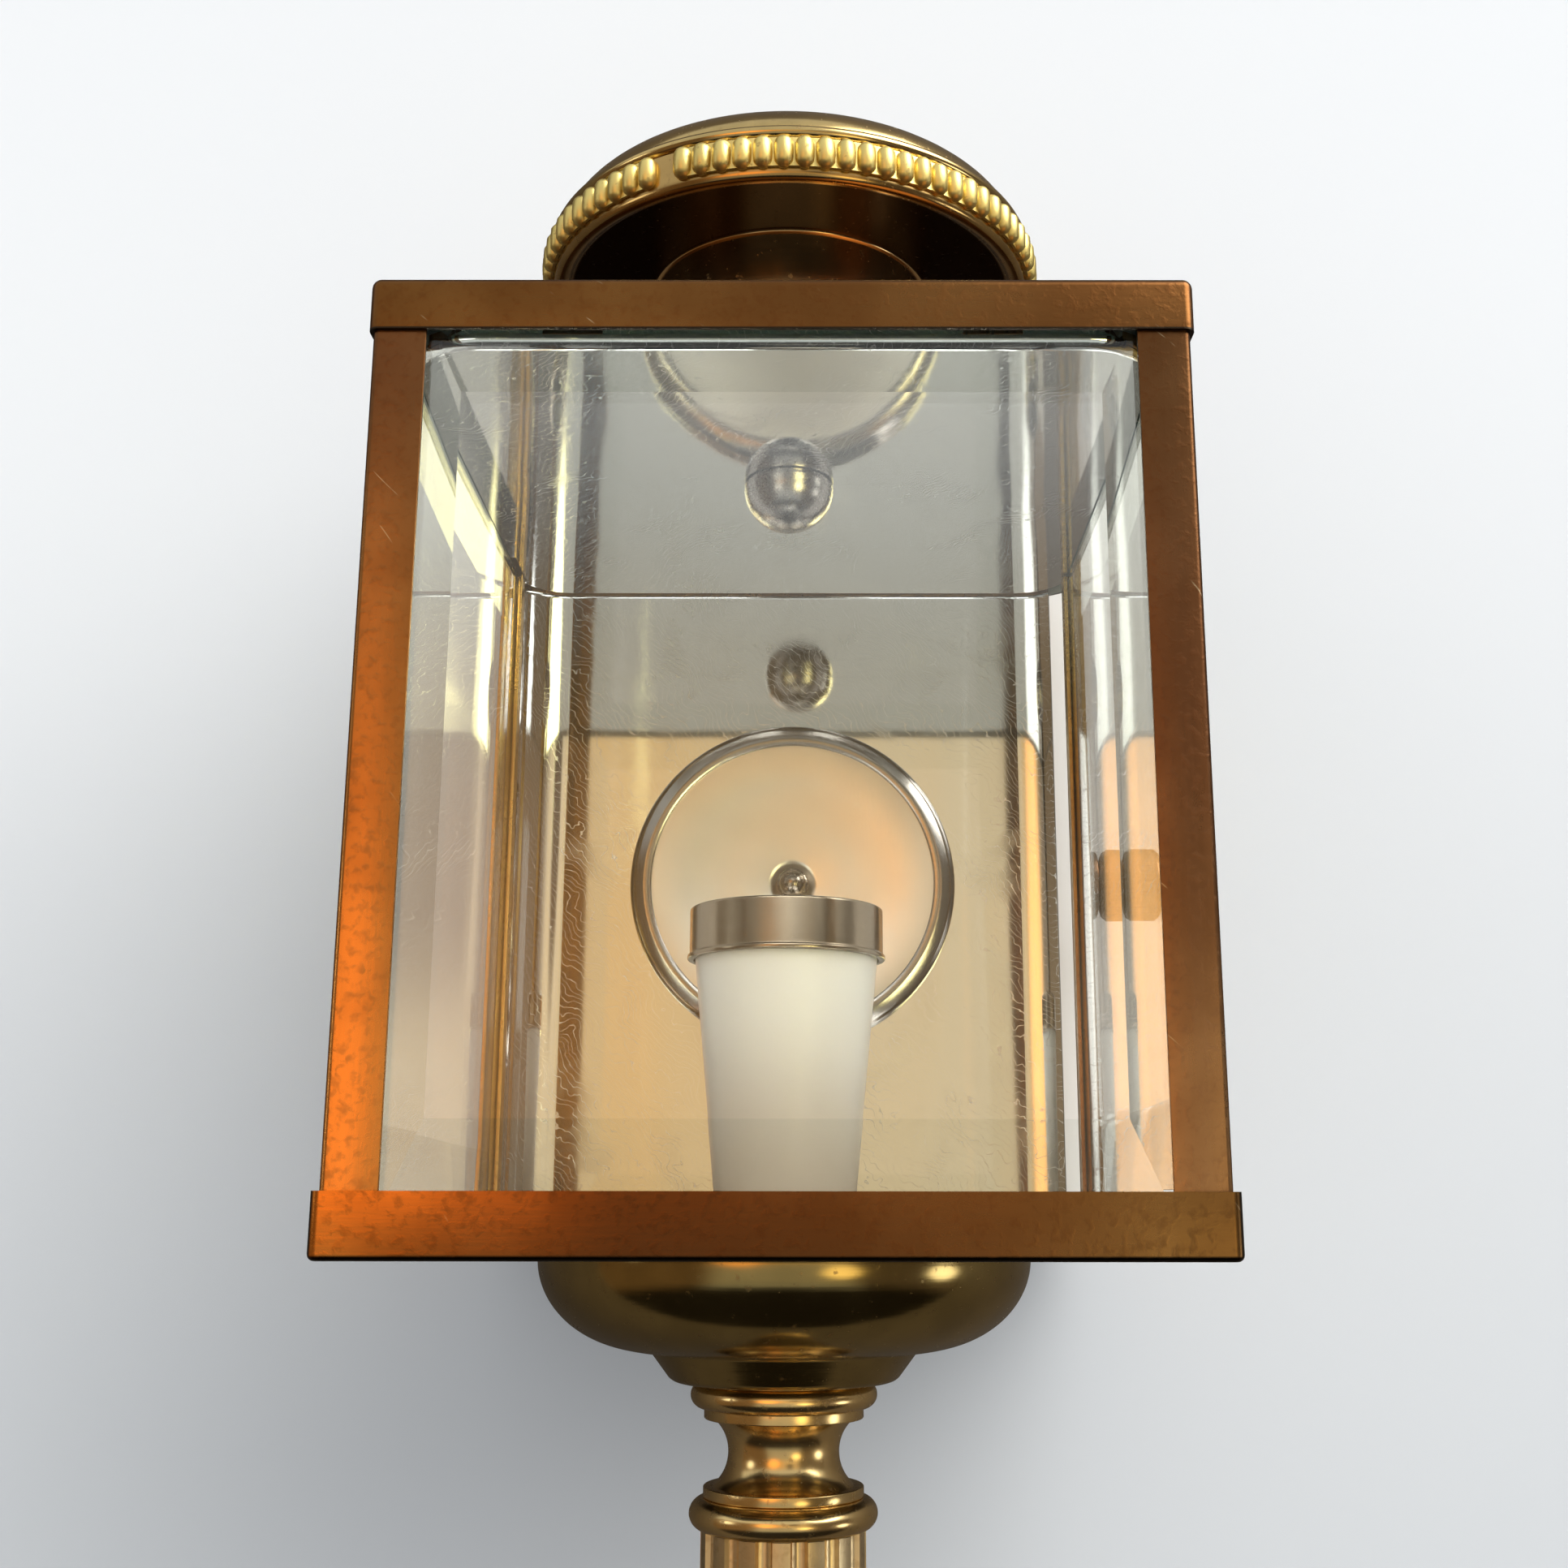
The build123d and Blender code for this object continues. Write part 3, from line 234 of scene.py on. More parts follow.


# Folded brass: trays, uprights, post and door stiles are brass sheet whose colour runs from one end to the
# other, partly tarnish and partly painted reflection of the room. It is satin, finely mottled, with rolling
# lines and a few pale scratches.
def tarnish_and_sheen_brass(name, tones, axis="Z", grain=(1, 1, 0.1), rough=0.2, shaded_edges=()):
    """Brass whose colour follows tones, each a place in millimetres along the axis and a colour.

    Each shaded edge is an axis, its distance from the middle and the width of its painted shade."""
    brass = Finish(name, metallic=1.0)
    cloud = brass.noise(0.03, 4.0)
    spots = brass.noise(0.0018, 4.0, distortion=0.3).between(0.45, 0.75)
    lines = brass.noise(0.0012, 2.0, grain)
    along = brass.height(axis) + 0.02 * (cloud - 0.5)
    # The colour runs along the axis through the given tones: partly tarnish, partly painted reflection.
    tone = tones[0][1]
    for (start, _), (end, after) in zip(tones, tones[1:]):
        tone = brass.blend(along.between(start * mm, end * mm), tone, after)
    tone = brass.blend(cloud.between(0.35, 0.65) * 0.7, tone, (0.66, 0.58, 0.52), "MULTIPLY")
    tone = brass.blend(spots * 0.4, tone, (0.6, 0.52, 0.46), "MULTIPLY")
    streak = brass.node("ShaderNodeTexWave", {"wave_type": "BANDS", "bands_direction": "DIAGONAL"},
                        {"Vector": brass.place(), "Scale": 60.0, "Distortion": 9.0, "Detail": 2.0,
                         "Detail Scale": 0.3})
    scratch = streak.between(0.996, 1.0) * brass.noise(0.008, 2.0).between(0.62, 0.72)
    tone = brass.blend(scratch * 0.25, tone, (0.95, 0.8, 0.5))
    # Near-black bands along the given edges: painted shade.
    for side, place, width in shaded_edges:
        away = brass.node("ShaderNodeMath", {"operation": "ABSOLUTE"}, {0: brass.height(side)})
        gap = brass.node("ShaderNodeMath", {"operation": "ABSOLUTE"}, {0: away - place})
        tone = brass.blend(gap.between(width / 2, width), (0.03, 0.02, 0.012), tone)
    brass.feed("Base Color", tone)
    brass.feed("Roughness", rough + 0.1 * cloud + 0.1 * spots + 0.06 * lines)
    brass.bump(lines * 0.5 + spots * 0.5, 0.00004)
    return brass.owner


def finished(name, work, material, nodes, body="lamp", crease=35):
    """Turns a bmesh into a named piece that rides on its body and stands for its CAD nodes."""
    bmesh.ops.recalc_face_normals(work, faces=work.faces)
    for face in work.faces:
        face.smooth = True
    for edge in work.edges:
        edge.smooth = edge.calc_face_angle(0) < math.radians(crease)
    data = bpy.data.meshes.new(name)
    work.to_mesh(data)
    work.free()
    data.materials.append(material)
    piece = bpy.data.objects.new(name, data)
    bpy.context.scene.collection.objects.link(piece)
    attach(piece, body)
    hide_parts(*nodes)
    return piece


def rounded(work, corners, roundings):
    """Rounds the corners of a flat outline, each by its own radius in millimetres."""
    for corner, rounding in zip(corners, roundings):
        if rounding:
            facets = 3 + int(2 * rounding ** 0.7)
            bmesh.ops.bevel(work, geom=[corner], offset=rounding * mm, segments=facets,
                            affect="VERTICES", profile=0.5, material=-1)


def box_in_mm(node):
    """Lowest and highest corner of a CAD node in millimetres."""
    low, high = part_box(node)
    return low / mm, high / mm


def brass_tray(name, node, closed_below, bend, material):
    """Shallow tray folded from one sheet, with rounded rear corners."""
    sheet, front, rear = 0.8, 2.0, 18.8
    low, high = box_in_mm(node)
    work = bmesh.new()
    corners = [work.verts.new(Vector((x, y, low.z)) * mm) for x, y in
               ((low.x, low.y), (high.x, low.y), (high.x, high.y), (low.x, high.y))]
    work.faces.new(corners)
    rounded(work, corners, (front, front, rear, rear))
    sides = bmesh.ops.extrude_face_region(work, geom=work.faces[:])["geom"]
    top = [part for part in sides if isinstance(part, bmesh.types.BMFace)][0]
    bmesh.ops.translate(work, verts=top.verts, vec=(0, 0, (high.z - low.z) * mm))
    closed_z = (low.z if closed_below else high.z) * mm
    rim = [edge for edge in work.edges if all(abs(v.co.z - closed_z) < 1e-6 for v in edge.verts)]
    bmesh.ops.bevel(work, geom=rim, offset=bend * mm, segments=5, affect="EDGES", profile=0.5, material=-1)
    open_z = (high.z if closed_below else low.z) * mm
    lid = [face for face in work.faces if all(abs(v.co.z - open_z) < 1e-6 for v in face.verts)]
    bmesh.ops.delete(work, geom=lid, context="FACES_ONLY")
    bmesh.ops.recalc_face_normals(work, faces=work.faces)
    outward = max(work.faces, key=lambda face: face.calc_area())
    if (outward.normal.z < 0) != closed_below:
        bmesh.ops.reverse_faces(work, faces=work.faces)
    bmesh.ops.solidify(work, geom=work.faces[:], thickness=sheet * mm)
    return finished(name, work, material, [node])


floor_low, floor_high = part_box("floor_tray")
roof_low, roof_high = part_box("roof_tray")
# Dark bands at the trays' ends and along one lower edge are painted shade.
shaded_tray_ends = ("X", floor_high.x, 0.0009)
# Orange at the left end, dark brown in the middle and lighter at the right: partly tarnish, partly painted
# reflection.
floor_tones = ((-78, (0.66, 0.23, 0.04)), (-50, (0.32, 0.11, 0.025)), (-20, (0.17, 0.068, 0.022)),
               (30, (0.2, 0.083, 0.026)), (78, (0.24, 0.135, 0.05)))
floor_tray_brass = tarnish_and_sheen_brass("floor_tray_brass", floor_tones, "X", (0.1, 1, 1),
                                 shaded_edges=(shaded_tray_ends, ("Z", -floor_low.z, 0.0011)))
brass_tray("folded_floor_tray", "floor_tray", True, 1.2, floor_tray_brass)

roof_tones = ((-78, (0.2, 0.085, 0.022)), (78, (0.16, 0.07, 0.021)))
roof_tray_brass = tarnish_and_sheen_brass("roof_tray_brass", roof_tones, "X", (0.1, 1, 1),
                                shaded_edges=(shaded_tray_ends, ("Z", roof_low.z, 0.0005)))
roof = brass_tray("folded_roof_tray", "roof_tray", False, 2.0, roof_tray_brass)
# Pale grey on the inward faces of the roof tray: a painted reflection of the window, for the pale strip
# above the ceiling plate's front edge.
painted_reflection = Finish("grey_painted_reflection", roughness=0.5)
painted_reflection.feed("Base Color", painted_reflection.blend(painted_reflection.noise(0.006, 3.0), (0.42, 0.46, 0.42), (0.62, 0.66, 0.61)))
roof.data.materials.append(painted_reflection.owner)
roof_middle = Vector(((roof_low.x + roof_high.x) / 2, (roof_low.y + roof_high.y) / 2, roof_low.z))
for face in roof.data.polygons:
    faces_inwards = face.normal.dot(face.center - roof_middle) < 0
    if faces_inwards and face.center.z > roof_low.z + 0.1 * mm:
        face.material_index = 1


# Uprights and rear post: brass angles and a channel, folded with a tight bend. They stand in
# the floor tray and carry the roof.
def folded_strip(name, node, section, material, body="lamp"):
    """Bent strip from its section of (x, y, rounding) points in millimetres, as tall as its node."""
    soft = 0.12
    low, high = box_in_mm(node)
    work = bmesh.new()
    corners = [work.verts.new(Vector((x, y, low.z)) * mm) for x, y, rounding in section]
    work.faces.new(corners)
    rounded(work, corners, [rounding or soft for x, y, rounding in section])
    grown = bmesh.ops.extrude_face_region(work, geom=work.faces[:])["geom"]
    bmesh.ops.translate(work, verts=[part for part in grown if isinstance(part, bmesh.types.BMVert)],
                        vec=(0, 0, (high.z - low.z) * mm))
    return finished(name, work, material, [node], body)


# The left upright is painted lighter and more orange than the right, and both darken upwards: partly
# tarnish, partly painted light and reflection.
left_tones = ((-80, (0.66, 0.28, 0.07)), (0, (0.45, 0.19, 0.05)), (80, (0.2, 0.09, 0.035)))
right_tones = ((-80, (0.4, 0.23, 0.11)), (0, (0.2, 0.09, 0.04)), (80, (0.14, 0.065, 0.025)))
left_brass = tarnish_and_sheen_brass("left_upright_brass", left_tones)
right_brass = tarnish_and_sheen_brass("right_upright_brass", right_tones)
for side, node in ((-1, "front_left_upright"), (1, "front_right_upright")):
    low, high = box_in_mm(node)
    outer, inner = (low.x, high.x) if side < 0 else (high.x, low.x)
    sheet = 1.0
    section = [(inner, low.y, 0), (outer, low.y, 1.2), (outer, high.y, 0),
               (outer - side * sheet, high.y, 0), (outer - side * sheet, low.y + sheet, 0.2),
               (inner, low.y + sheet, 0)]
    folded_strip("folded_" + node, node, section, left_brass if side < 0 else right_brass)


def channel_section(node, side):
    """Channel with one flange outside the glass and a short lip inside it."""
    low, high = box_in_mm(node)
    outer, inner = (high.x, low.x) if side > 0 else (low.x, high.x)
    lip_front = high.y - 5.0
    return [(outer, low.y, 0), (outer, high.y, 0.8), (inner, high.y, 0.4), (inner, lip_front, 0),
            (inner + side, lip_front, 0), (inner + side, high.y - 1.0, 0.2),
            (outer - side, high.y - 1.0, 0.2), (outer - side, low.y, 0)]


post_brass = tarnish_and_sheen_brass("post_brass", ((-80, (0.95, 0.6, 0.2)), (80, (0.85, 0.56, 0.2))))
folded_strip("folded_rear_left_post", "rear_left_post", channel_section("rear_left_post", -1), post_brass)


# Back cover and liner: the cover is brass outside, the liner inside it is bright aluminium.
# Both are bent round the rear corners and stop short of the door.
def bent_back(name, node, sheet, corner_radius, material):
    """Sheet bent round both rear corners, cut off level with its node's ends."""
    low, high = box_in_mm(node)
    far = -low.x
    reach = high.y - 30
    work = bmesh.new()
    path = ((-far, reach), (-far, high.y), (far, high.y), (far, reach))
    corners = [work.verts.new(Vector((x, y, low.z)) * mm) for x, y in path]
    work.faces.new(corners)
    rounded(work, corners, (0, corner_radius, corner_radius, 0))
    bmesh.ops.delete(work, geom=work.faces[:], context="FACES_ONLY")
    front = [edge for edge in work.edges if all(abs(v.co.y - reach * mm) < 1e-7 for v in edge.verts)]
    bmesh.ops.delete(work, geom=front, context="EDGES")
    grown = bmesh.ops.extrude_edge_only(work, edges=work.edges[:])["geom"]
    bmesh.ops.translate(work, verts=[part for part in grown if isinstance(part, bmesh.types.BMVert)],
                        vec=(0, 0, (high.z - low.z) * mm))
    for point, normal in (((0, low.y * mm, 0), (0, -1, 0)), ((high.x * mm, 0, 0), (1, 0, 0))):
        bmesh.ops.bisect_plane(work, geom=work.verts[:] + work.edges[:] + work.faces[:], plane_co=point,
                               plane_no=normal, clear_outer=True)
    middle = max(work.faces, key=lambda face: face.calc_area())
    bmesh.ops.recalc_face_normals(work, faces=work.faces)
    if middle.normal.y < 0:
        bmesh.ops.reverse_faces(work, faces=work.faces)
    bmesh.ops.solidify(work, geom=work.faces[:], thickness=sheet * mm)
    return finished(name, work, material, [node])


plain_tones = ((-80, (0.5, 0.3, 0.12)), (80, (0.42, 0.25, 0.1)))
bent_back("bent_back_cover", "back_cover", 0.8, 18.0, tarnish_and_sheen_brass("cover_brass", plain_tones))


def bright_sheet(name, wave, wave_size, wave_depth):
    """Bright rolled aluminium, a little wavy, with fine scratches and stains."""
    sheet = Finish(name, metallic=1.0)
    stain = sheet.noise(0.02, 4.0, distortion=0.8).between(0.52, 0.75)
    scratch = sheet.node("ShaderNodeTexWave", {"wave_type": "BANDS", "bands_direction": "DIAGONAL"},
                         {"Vector": sheet.place(), "Scale": 260.0, "Distortion": 30.0, "Detail": 3.0,
                          "Detail Scale": 0.35})
    fine = scratch.between(0.97, 1.0)
    sheet.feed("Base Color", sheet.blend(stain * 0.35, (0.8, 0.8, 0.79), (0.62, 0.61, 0.58)))
    sheet.feed("Roughness", 0.05 + 0.08 * stain + 0.2 * fine)
    sheet.bump(sheet.noise(wave_size, 1.0, wave), wave_depth)
    return sheet.owner


liner_sheet = bright_sheet("liner_sheet", (1, 1, 0.15), 0.03, 0.0004)
bent_back("bent_liner", "back_liner", 0.6, 16.9, liner_sheet)


# Floor and ceiling plates: flat bright aluminium that throws the light outwards. The ceiling
# plate has rounded corners and hangs from the rod through the chimney.
def dress(material, *nodes):
    """Gives CAD pieces their finish."""
    for name in nodes:
        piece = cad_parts[name]
        piece.data.materials.clear()
        piece.data.materials.append(material)


dress(bright_sheet("ceiling_sheet", (1, 0.2, 1), 0.022, 0.0003), "ceiling_plate")
dress(bright_sheet("floor_sheet", (1, 1, 1), 0.05, 0.00008), "floor_plate")


# Panes: clear float glass with wide bevels on the outside, which are a little darker than the
# flat middle. The cut edges are green.
clear_glass = Finish("clear_glass", (0.975, 0.99, 0.98), roughness=0.0, Transmission_Weight=1.0, IOR=1.5)
bevel_glass = Finish("ground_bevel", (0.84, 0.87, 0.83), roughness=0.0, Transmission_Weight=1.0, IOR=1.5)
green_edge = Finish("green_glass_edge", (0.2, 0.42, 0.36), roughness=0.15, Transmission_Weight=0.6, IOR=1.5)


def bevelled_pane(name, node, normal, body="lamp"):
    """Pane the size of its CAD node, with its outer face drawn in to leave the bevels."""
    bevel_side, bevel_end, drop = 7.8, 17.5, 0.65
    flat = 0.9998
    low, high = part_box(node)
    size = high - low
    across = 1 if normal.x else 0
    work = bmesh.new()
    bmesh.ops.create_cube(work, size=1.0, matrix=Matrix.Translation((low + high) / 2)
                          @ Matrix.Diagonal((*size, 1)))
    outer = [face for face in work.faces if face.normal.dot(normal) > 0.5][0]
    bmesh.ops.translate(work, verts=outer.verts, vec=-drop * mm * normal)
    raised = bmesh.ops.extrude_discrete_faces(work, faces=[outer])["faces"][0]
    middle = raised.calc_center_median()
    shrink = Vector((1, 1, 1))
    shrink[across] = 1 - 2 * bevel_side * mm / size[across]
    shrink.z = 1 - 2 * bevel_end * mm / size.z
    bmesh.ops.scale(work, vec=shrink, verts=raised.verts, space=Matrix.Translation(-middle))
    bmesh.ops.translate(work, verts=raised.verts, vec=drop * mm * normal)
    pane = finished(name, work, clear_glass.owner, [node], body, crease=1)
    pane.data.materials.append(green_edge.owner)
    pane.data.materials.append(bevel_glass.owner)
    for face in pane.data.polygons:
        face.use_smooth = False
        outward = face.normal.dot(normal)
        if abs(outward) < 0.5:
            face.material_index = 1
        elif 0 < outward < flat:
            face.material_index = 2


bevelled_pane("front_pane", "front_glass", Vector((0, -1, 0)))
bevelled_pane("left_pane", "left_glass", Vector((-1, 0, 0)))
bevelled_pane("door_pane", "door_glass", Vector((1, 0, 0)), "door")
small_brass = tarnish_and_sheen_brass("small_brass", plain_tones)
dress(small_brass, "glass_rests", "glass_clips", "hinge_bottom_block", "hinge_top_block")


# Door: two brass channels cemented to the pane. The front one turns on pins in two blocks and
# the rear one carries the knob and rides past a leaf spring.
# The stiles darken towards the bottom: partly tarnish, partly painted reflection.
stile_brass = tarnish_and_sheen_brass("stile_brass", ((-60, (0.42, 0.22, 0.09)), (80, (0.6, 0.42, 0.14))))
folded_strip("folded_rear_stile", "door_rear_stile", channel_section("door_rear_stile", 1),
             stile_brass, "door")
low, high = box_in_mm("door_front_stile")
nose = (high.x - low.x) / 2
slot_y = low.y + 2 * nose + 0.3
front_stile_section = [(low.x, low.y, nose - 0.05), (high.x, low.y, nose - 0.05), (high.x, high.y, 0),
                       (high.x - 1, high.y, 0), (high.x - 1, slot_y, 0), (low.x + 1, slot_y, 0),
                       (low.x + 1, high.y, 0), (low.x, high.y, 0)]
folded_strip("folded_front_stile", "door_front_stile", front_stile_section, stile_brass, "door")


def plain_metal(name, colour, rough, metallic=1.0):
    """Small fittings: plated or rolled metal, or moulded plastic, with a fine grain."""
    metal = Finish(name, metallic=metallic)
    cloud = metal.noise(0.008, 3.0)
    fine = metal.noise(0.001, 2.0)
    metal.feed("Base Color", metal.blend(cloud, tuple(0.75 * part for part in colour), colour))
    metal.feed("Roughness", rough + 0.1 * fine)
    metal.bump(fine, 0.00002)
    return metal.owner


zinc = plain_metal("zinc_plate", (0.6, 0.61, 0.62), 0.3)
spring = plain_metal("spring_steel", (0.5, 0.5, 0.5), 0.25)
dress(zinc, "hinge_bottom_pin", "hinge_top_pin", "wall_stud", "wall_bracket", "centre_tube", "floor_nut",
      "bowl_nut", "chimney_rod", "rod_spacer")
dress(spring, "door_catch", "centre_contact")


column_low, column_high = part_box("fluted_column")
lamp_axis = Matrix.Translation(((column_low.x + column_high.x) / 2, (column_low.y + column_high.y) / 2, 0))


# Turned and spun work: round brass pieces, lacquered and polished, with a faint haze, brown
# freckles and turning lines. Each is made from one outline of (radius, height, rounding) points.
def polished_brass(name, tone, rough=0.1, shaded_within=0.0):
    """Lacquered brass, with near-black painted shade nearer to the lamp's axis than the given millimetres.
    """
    brass = Finish(name, metallic=1.0)
    haze = brass.noise(0.012, 3.0)
    freckle = brass.noise(0.0016, 3.0).between(0.6, 0.74)
    lines = brass.noise(0.0008, 1.0, (0.05, 0.05, 1))
    dull = tuple(0.8 * part for part in tone)
    colour = brass.blend(haze.between(0.35, 0.7), dull, tone)
    colour = brass.blend(freckle * 0.5, colour, (0.3, 0.19, 0.08))
    if shaded_within:
        reach = brass.node("ShaderNodeVectorMath", {"operation": "DISTANCE"},
                           {0: brass.place((1, 1, 0)), 1: lamp_axis.translation}, output="Value")
        unshaded = reach.between(shaded_within * mm, (shaded_within + 2) * mm)
        colour = brass.blend(unshaded, (0.05, 0.03, 0.012), colour)
    brass.feed("Base Color", colour)
    brass.feed("Roughness", rough + 0.08 * haze + 0.15 * freckle + 0.04 * lines)
    brass.bump(lines, 0.00001)
    return brass.owner


def spun_mesh(outline, place=lamp_axis, segments=144):
    """Bmesh of a round solid; an outline that starts and ends on the axis is closed there."""
    work = bmesh.new()
    corners = [work.verts.new((radius * mm, 0, height * mm)) for radius, height, rounding in outline]
    work.faces.new(corners)
    rounded(work, corners, [rounding for radius, height, rounding in outline])
    bmesh.ops.delete(work, geom=work.faces[:], context="FACES_ONLY")
    on_axis = [edge for edge in work.edges if all(abs(v.co.x) < 1e-7 for v in edge.verts)]
    bmesh.ops.delete(work, geom=on_axis, context="EDGES")
    bmesh.ops.spin(work, geom=work.verts[:] + work.edges[:], axis=(0, 0, 1), cent=(0, 0, 0),
                   steps=segments, angle=2 * math.pi, use_merge=True)
    bmesh.ops.remove_doubles(work, verts=work.verts, dist=1e-7)
    bmesh.ops.transform(work, matrix=place, verts=work.verts)
    return work


def turned(name, outline, material, nodes, body="lamp", place=lamp_axis, segments=144):
    return finished(name, spun_mesh(outline, place, segments), material, nodes, body)


knob_low, knob_high = box_in_mm("door_knob")
knob_radius = (knob_high.z - knob_low.z) / 2
knob_length = knob_high.x - knob_low.x
knob_foot = Vector((knob_low.x, (knob_low.y + knob_high.y) / 2, (knob_low.z + knob_high.z) / 2))
knob_place = Matrix.Translation(knob_foot * mm) @ Matrix.Rotation(math.pi / 2, 4, "Y")
knob = spun_mesh([(0, 0, 0), (8.8, 0, 0.2), (8.8, 2.3, 0.3), (5.2, 3.4, 0.4), (8.6, 4.3, 0.3),
                  (knob_radius, 5.0, 0.2), (knob_radius, knob_length - 1, 0.3),
                  (knob_radius - 1, knob_length, 0.4), (0, knob_length, 0)], knob_place, 96)
knurl_start, knurl_end = (knob_low.x + 5.4) * mm, (knob_high.x - 1.4) * mm
knurl_faces = [face for face in knob.faces if knurl_start < face.calc_center_median().x < knurl_end]
bmesh.ops.inset_individual(knob, faces=knurl_faces, thickness=0.08 * mm, depth=-0.3 * mm)
knob_brass = polished_brass("knob_brass", (0.24, 0.12, 0.06), 0.2)
finished("knurled_knob", knob, knob_brass, ["door_knob", "knob_rivet"], "door")


# Chimney: a spun neck stands on the roof in a half-round flange and carries a shallow pan with
# a rolled lip. The lid is a shallow dome with a rolled edge.
chimney_brass = polished_brass("chimney_brass", (0.8, 0.52, 0.24), 0.12)
# The pan's middle, under its overhang, is near-black painted shade.
pan_brass = polished_brass("pan_brass", (0.52, 0.33, 0.12), 0.12, shaded_within=52.0)
flange_z = box_in_mm("chimney_flange")[0].z
pan_low, pan_high = box_in_mm("chimney_pan")
pan_z = box_in_mm("chimney_neck")[1].z
turned("half_round_flange", [(33.05, flange_z, 0), (36.2, flange_z, 1.5), (36.2, flange_z + 3.2, 1.5),
                             (33.05, flange_z + 3.2, 0)], chimney_brass, ["chimney_flange"])
turned("spun_neck", [(32.2, flange_z, 0), (33, flange_z, 0), (33, pan_z - 0.8, 0), (33.6, pan_z - 0.4, 0.2),
                     (33.6, pan_z, 0), (32.2, pan_z, 0)],
       chimney_brass, ["chimney_neck"])
turned("spun_pan", [(27, pan_z, 0), (53.0, pan_z, 0.6), (54.6, pan_low.z, 1.4), (57.2, pan_low.z, 1.4),
                    (57.5, pan_z + 0.4, 0.6), (57.5, pan_high.z, 0.2), (56.7, pan_high.z, 0.2),
                    (56.7, pan_z + 0.8, 0.2), (27, pan_z + 0.8, 0)], pan_brass, ["chimney_pan"])

lid_low, lid_high = box_in_mm("chimney_lid")
lid = bmesh.new()
lid_roll = 1.6
lid_reach = (lid_high.x - lid_low.x) / 2 - lid_roll
lid_base = lid_low.z + lid_roll
dome_size = Matrix.Diagonal((lid_reach * mm, lid_reach * mm, (lid_high.z - lid_low.z - lid_roll) * mm, 1))
bmesh.ops.create_uvsphere(lid, u_segments=144, v_segments=64, radius=1.0,
                          matrix=lamp_axis @ Matrix.Translation((0, 0, lid_base * mm)) @ dome_size)
bmesh.ops.bisect_plane(lid, geom=lid.verts[:] + lid.edges[:] + lid.faces[:],
                       plane_co=(0, 0, lid_base * mm), plane_no=(0, 0, -1), clear_outer=True)
edge_place = Matrix.Translation((lid_reach * mm, 0, lid_base * mm)) @ Matrix.Rotation(math.pi / 2, 4, "X")
rolled_edge = bmesh.ops.create_circle(lid, segments=14, radius=lid_roll * mm, matrix=edge_place)["verts"]
roll_edges = list({edge for corner in rolled_edge for edge in corner.link_edges})
bmesh.ops.transform(lid, matrix=lamp_axis, verts=rolled_edge)
bmesh.ops.spin(lid, geom=rolled_edge + roll_edges, axis=(0, 0, 1), cent=lamp_axis.translation,
               steps=144, angle=2 * math.pi, use_merge=True)
finished("domed_lid", lid, polished_brass("lid_brass", (0.62, 0.44, 0.18), 0.1), ["chimney_lid"])
turned("lid_button", [(0, lid_high.z - 0.3, 0), (7, lid_high.z - 0.3, 0.3), (7, lid_high.z + 5.5, 3.2),
                      (0, lid_high.z + 6.8, 0)], chimney_brass, ["lid_finial"])


# Bead gallery: a stamped strip of upright beads wrapped round the pan's wall, with one bead
# missing where its ends meet.
gallery_brass = polished_brass("gallery_brass", (0.9, 0.72, 0.26), 0.38)
gallery_low, gallery_high = box_in_mm("bead_gallery")
strip_in, strip_out, bead_half = 57.57, 58.25, 2.2
bead_count = 81
seam_turn = math.radians(-117.0)
bead_turn = 2 * math.pi / bead_count
gallery_middle = (gallery_low.z + gallery_high.z) / 2
gallery = bmesh.new()
bead = bmesh.ops.create_uvsphere(gallery, u_segments=12, v_segments=10, radius=bead_half * mm)["verts"]
for corner in bead:
    if abs(corner.co.z) > 1e-6:
        corner.co.z += math.copysign((gallery_high.z - gallery_low.z) / 2 - bead_half, corner.co.z) * mm
bmesh.ops.translate(gallery, verts=bead, vec=Vector((58.0, 0, gallery_middle)) * mm)
bmesh.ops.rotate(gallery, verts=bead, cent=(0, 0, 0), matrix=Matrix.Rotation(seam_turn + bead_turn, 3, "Z"))
bmesh.ops.spin(gallery, geom=gallery.verts[:] + gallery.edges[:] + gallery.faces[:], axis=(0, 0, 1),
               cent=(0, 0, 0), steps=bead_count - 2, angle=bead_turn * (bead_count - 2), use_duplicate=True)
strip = [gallery.verts.new(Vector((radius, 0, height)) * mm) for radius, height in
         ((strip_in, gallery_low.z + 0.3), (strip_out, gallery_low.z + 0.3),
          (strip_out, gallery_high.z - 0.3), (strip_in, gallery_high.z - 0.3))]
strip_face = gallery.faces.new(strip)
half_gap = bead_turn * 0.9
bmesh.ops.rotate(gallery, verts=strip, cent=(0, 0, 0), matrix=Matrix.Rotation(seam_turn + half_gap, 3, "Z"))
bmesh.ops.spin(gallery, geom=[strip_face] + strip + list(strip_face.edges), axis=(0, 0, 1),
               cent=(0, 0, 0), steps=180, angle=2 * math.pi - 2 * half_gap)
bmesh.ops.transform(gallery, matrix=lamp_axis, verts=gallery.verts)
finished("beaded_gallery", gallery, gallery_brass, ["bead_gallery"])


# Nickel fittings: the half-ball nut under the ceiling, the reflector's cap nut and the
# lampholder's ring are brushed nickel plate.
def brushed_nickel(name, stretch, rough, tint):
    nickel = Finish(name, metallic=1.0)
    lines = nickel.noise(0.0006, 2.0, stretch)
    cloud = nickel.noise(0.01, 2.0)
    nickel.feed("Base Color", nickel.blend(cloud, tuple(0.85 * part for part in tint), tint))
    nickel.feed("Roughness", rough + 0.12 * lines)
    nickel.bump(lines, 0.000006)
    return nickel.owner


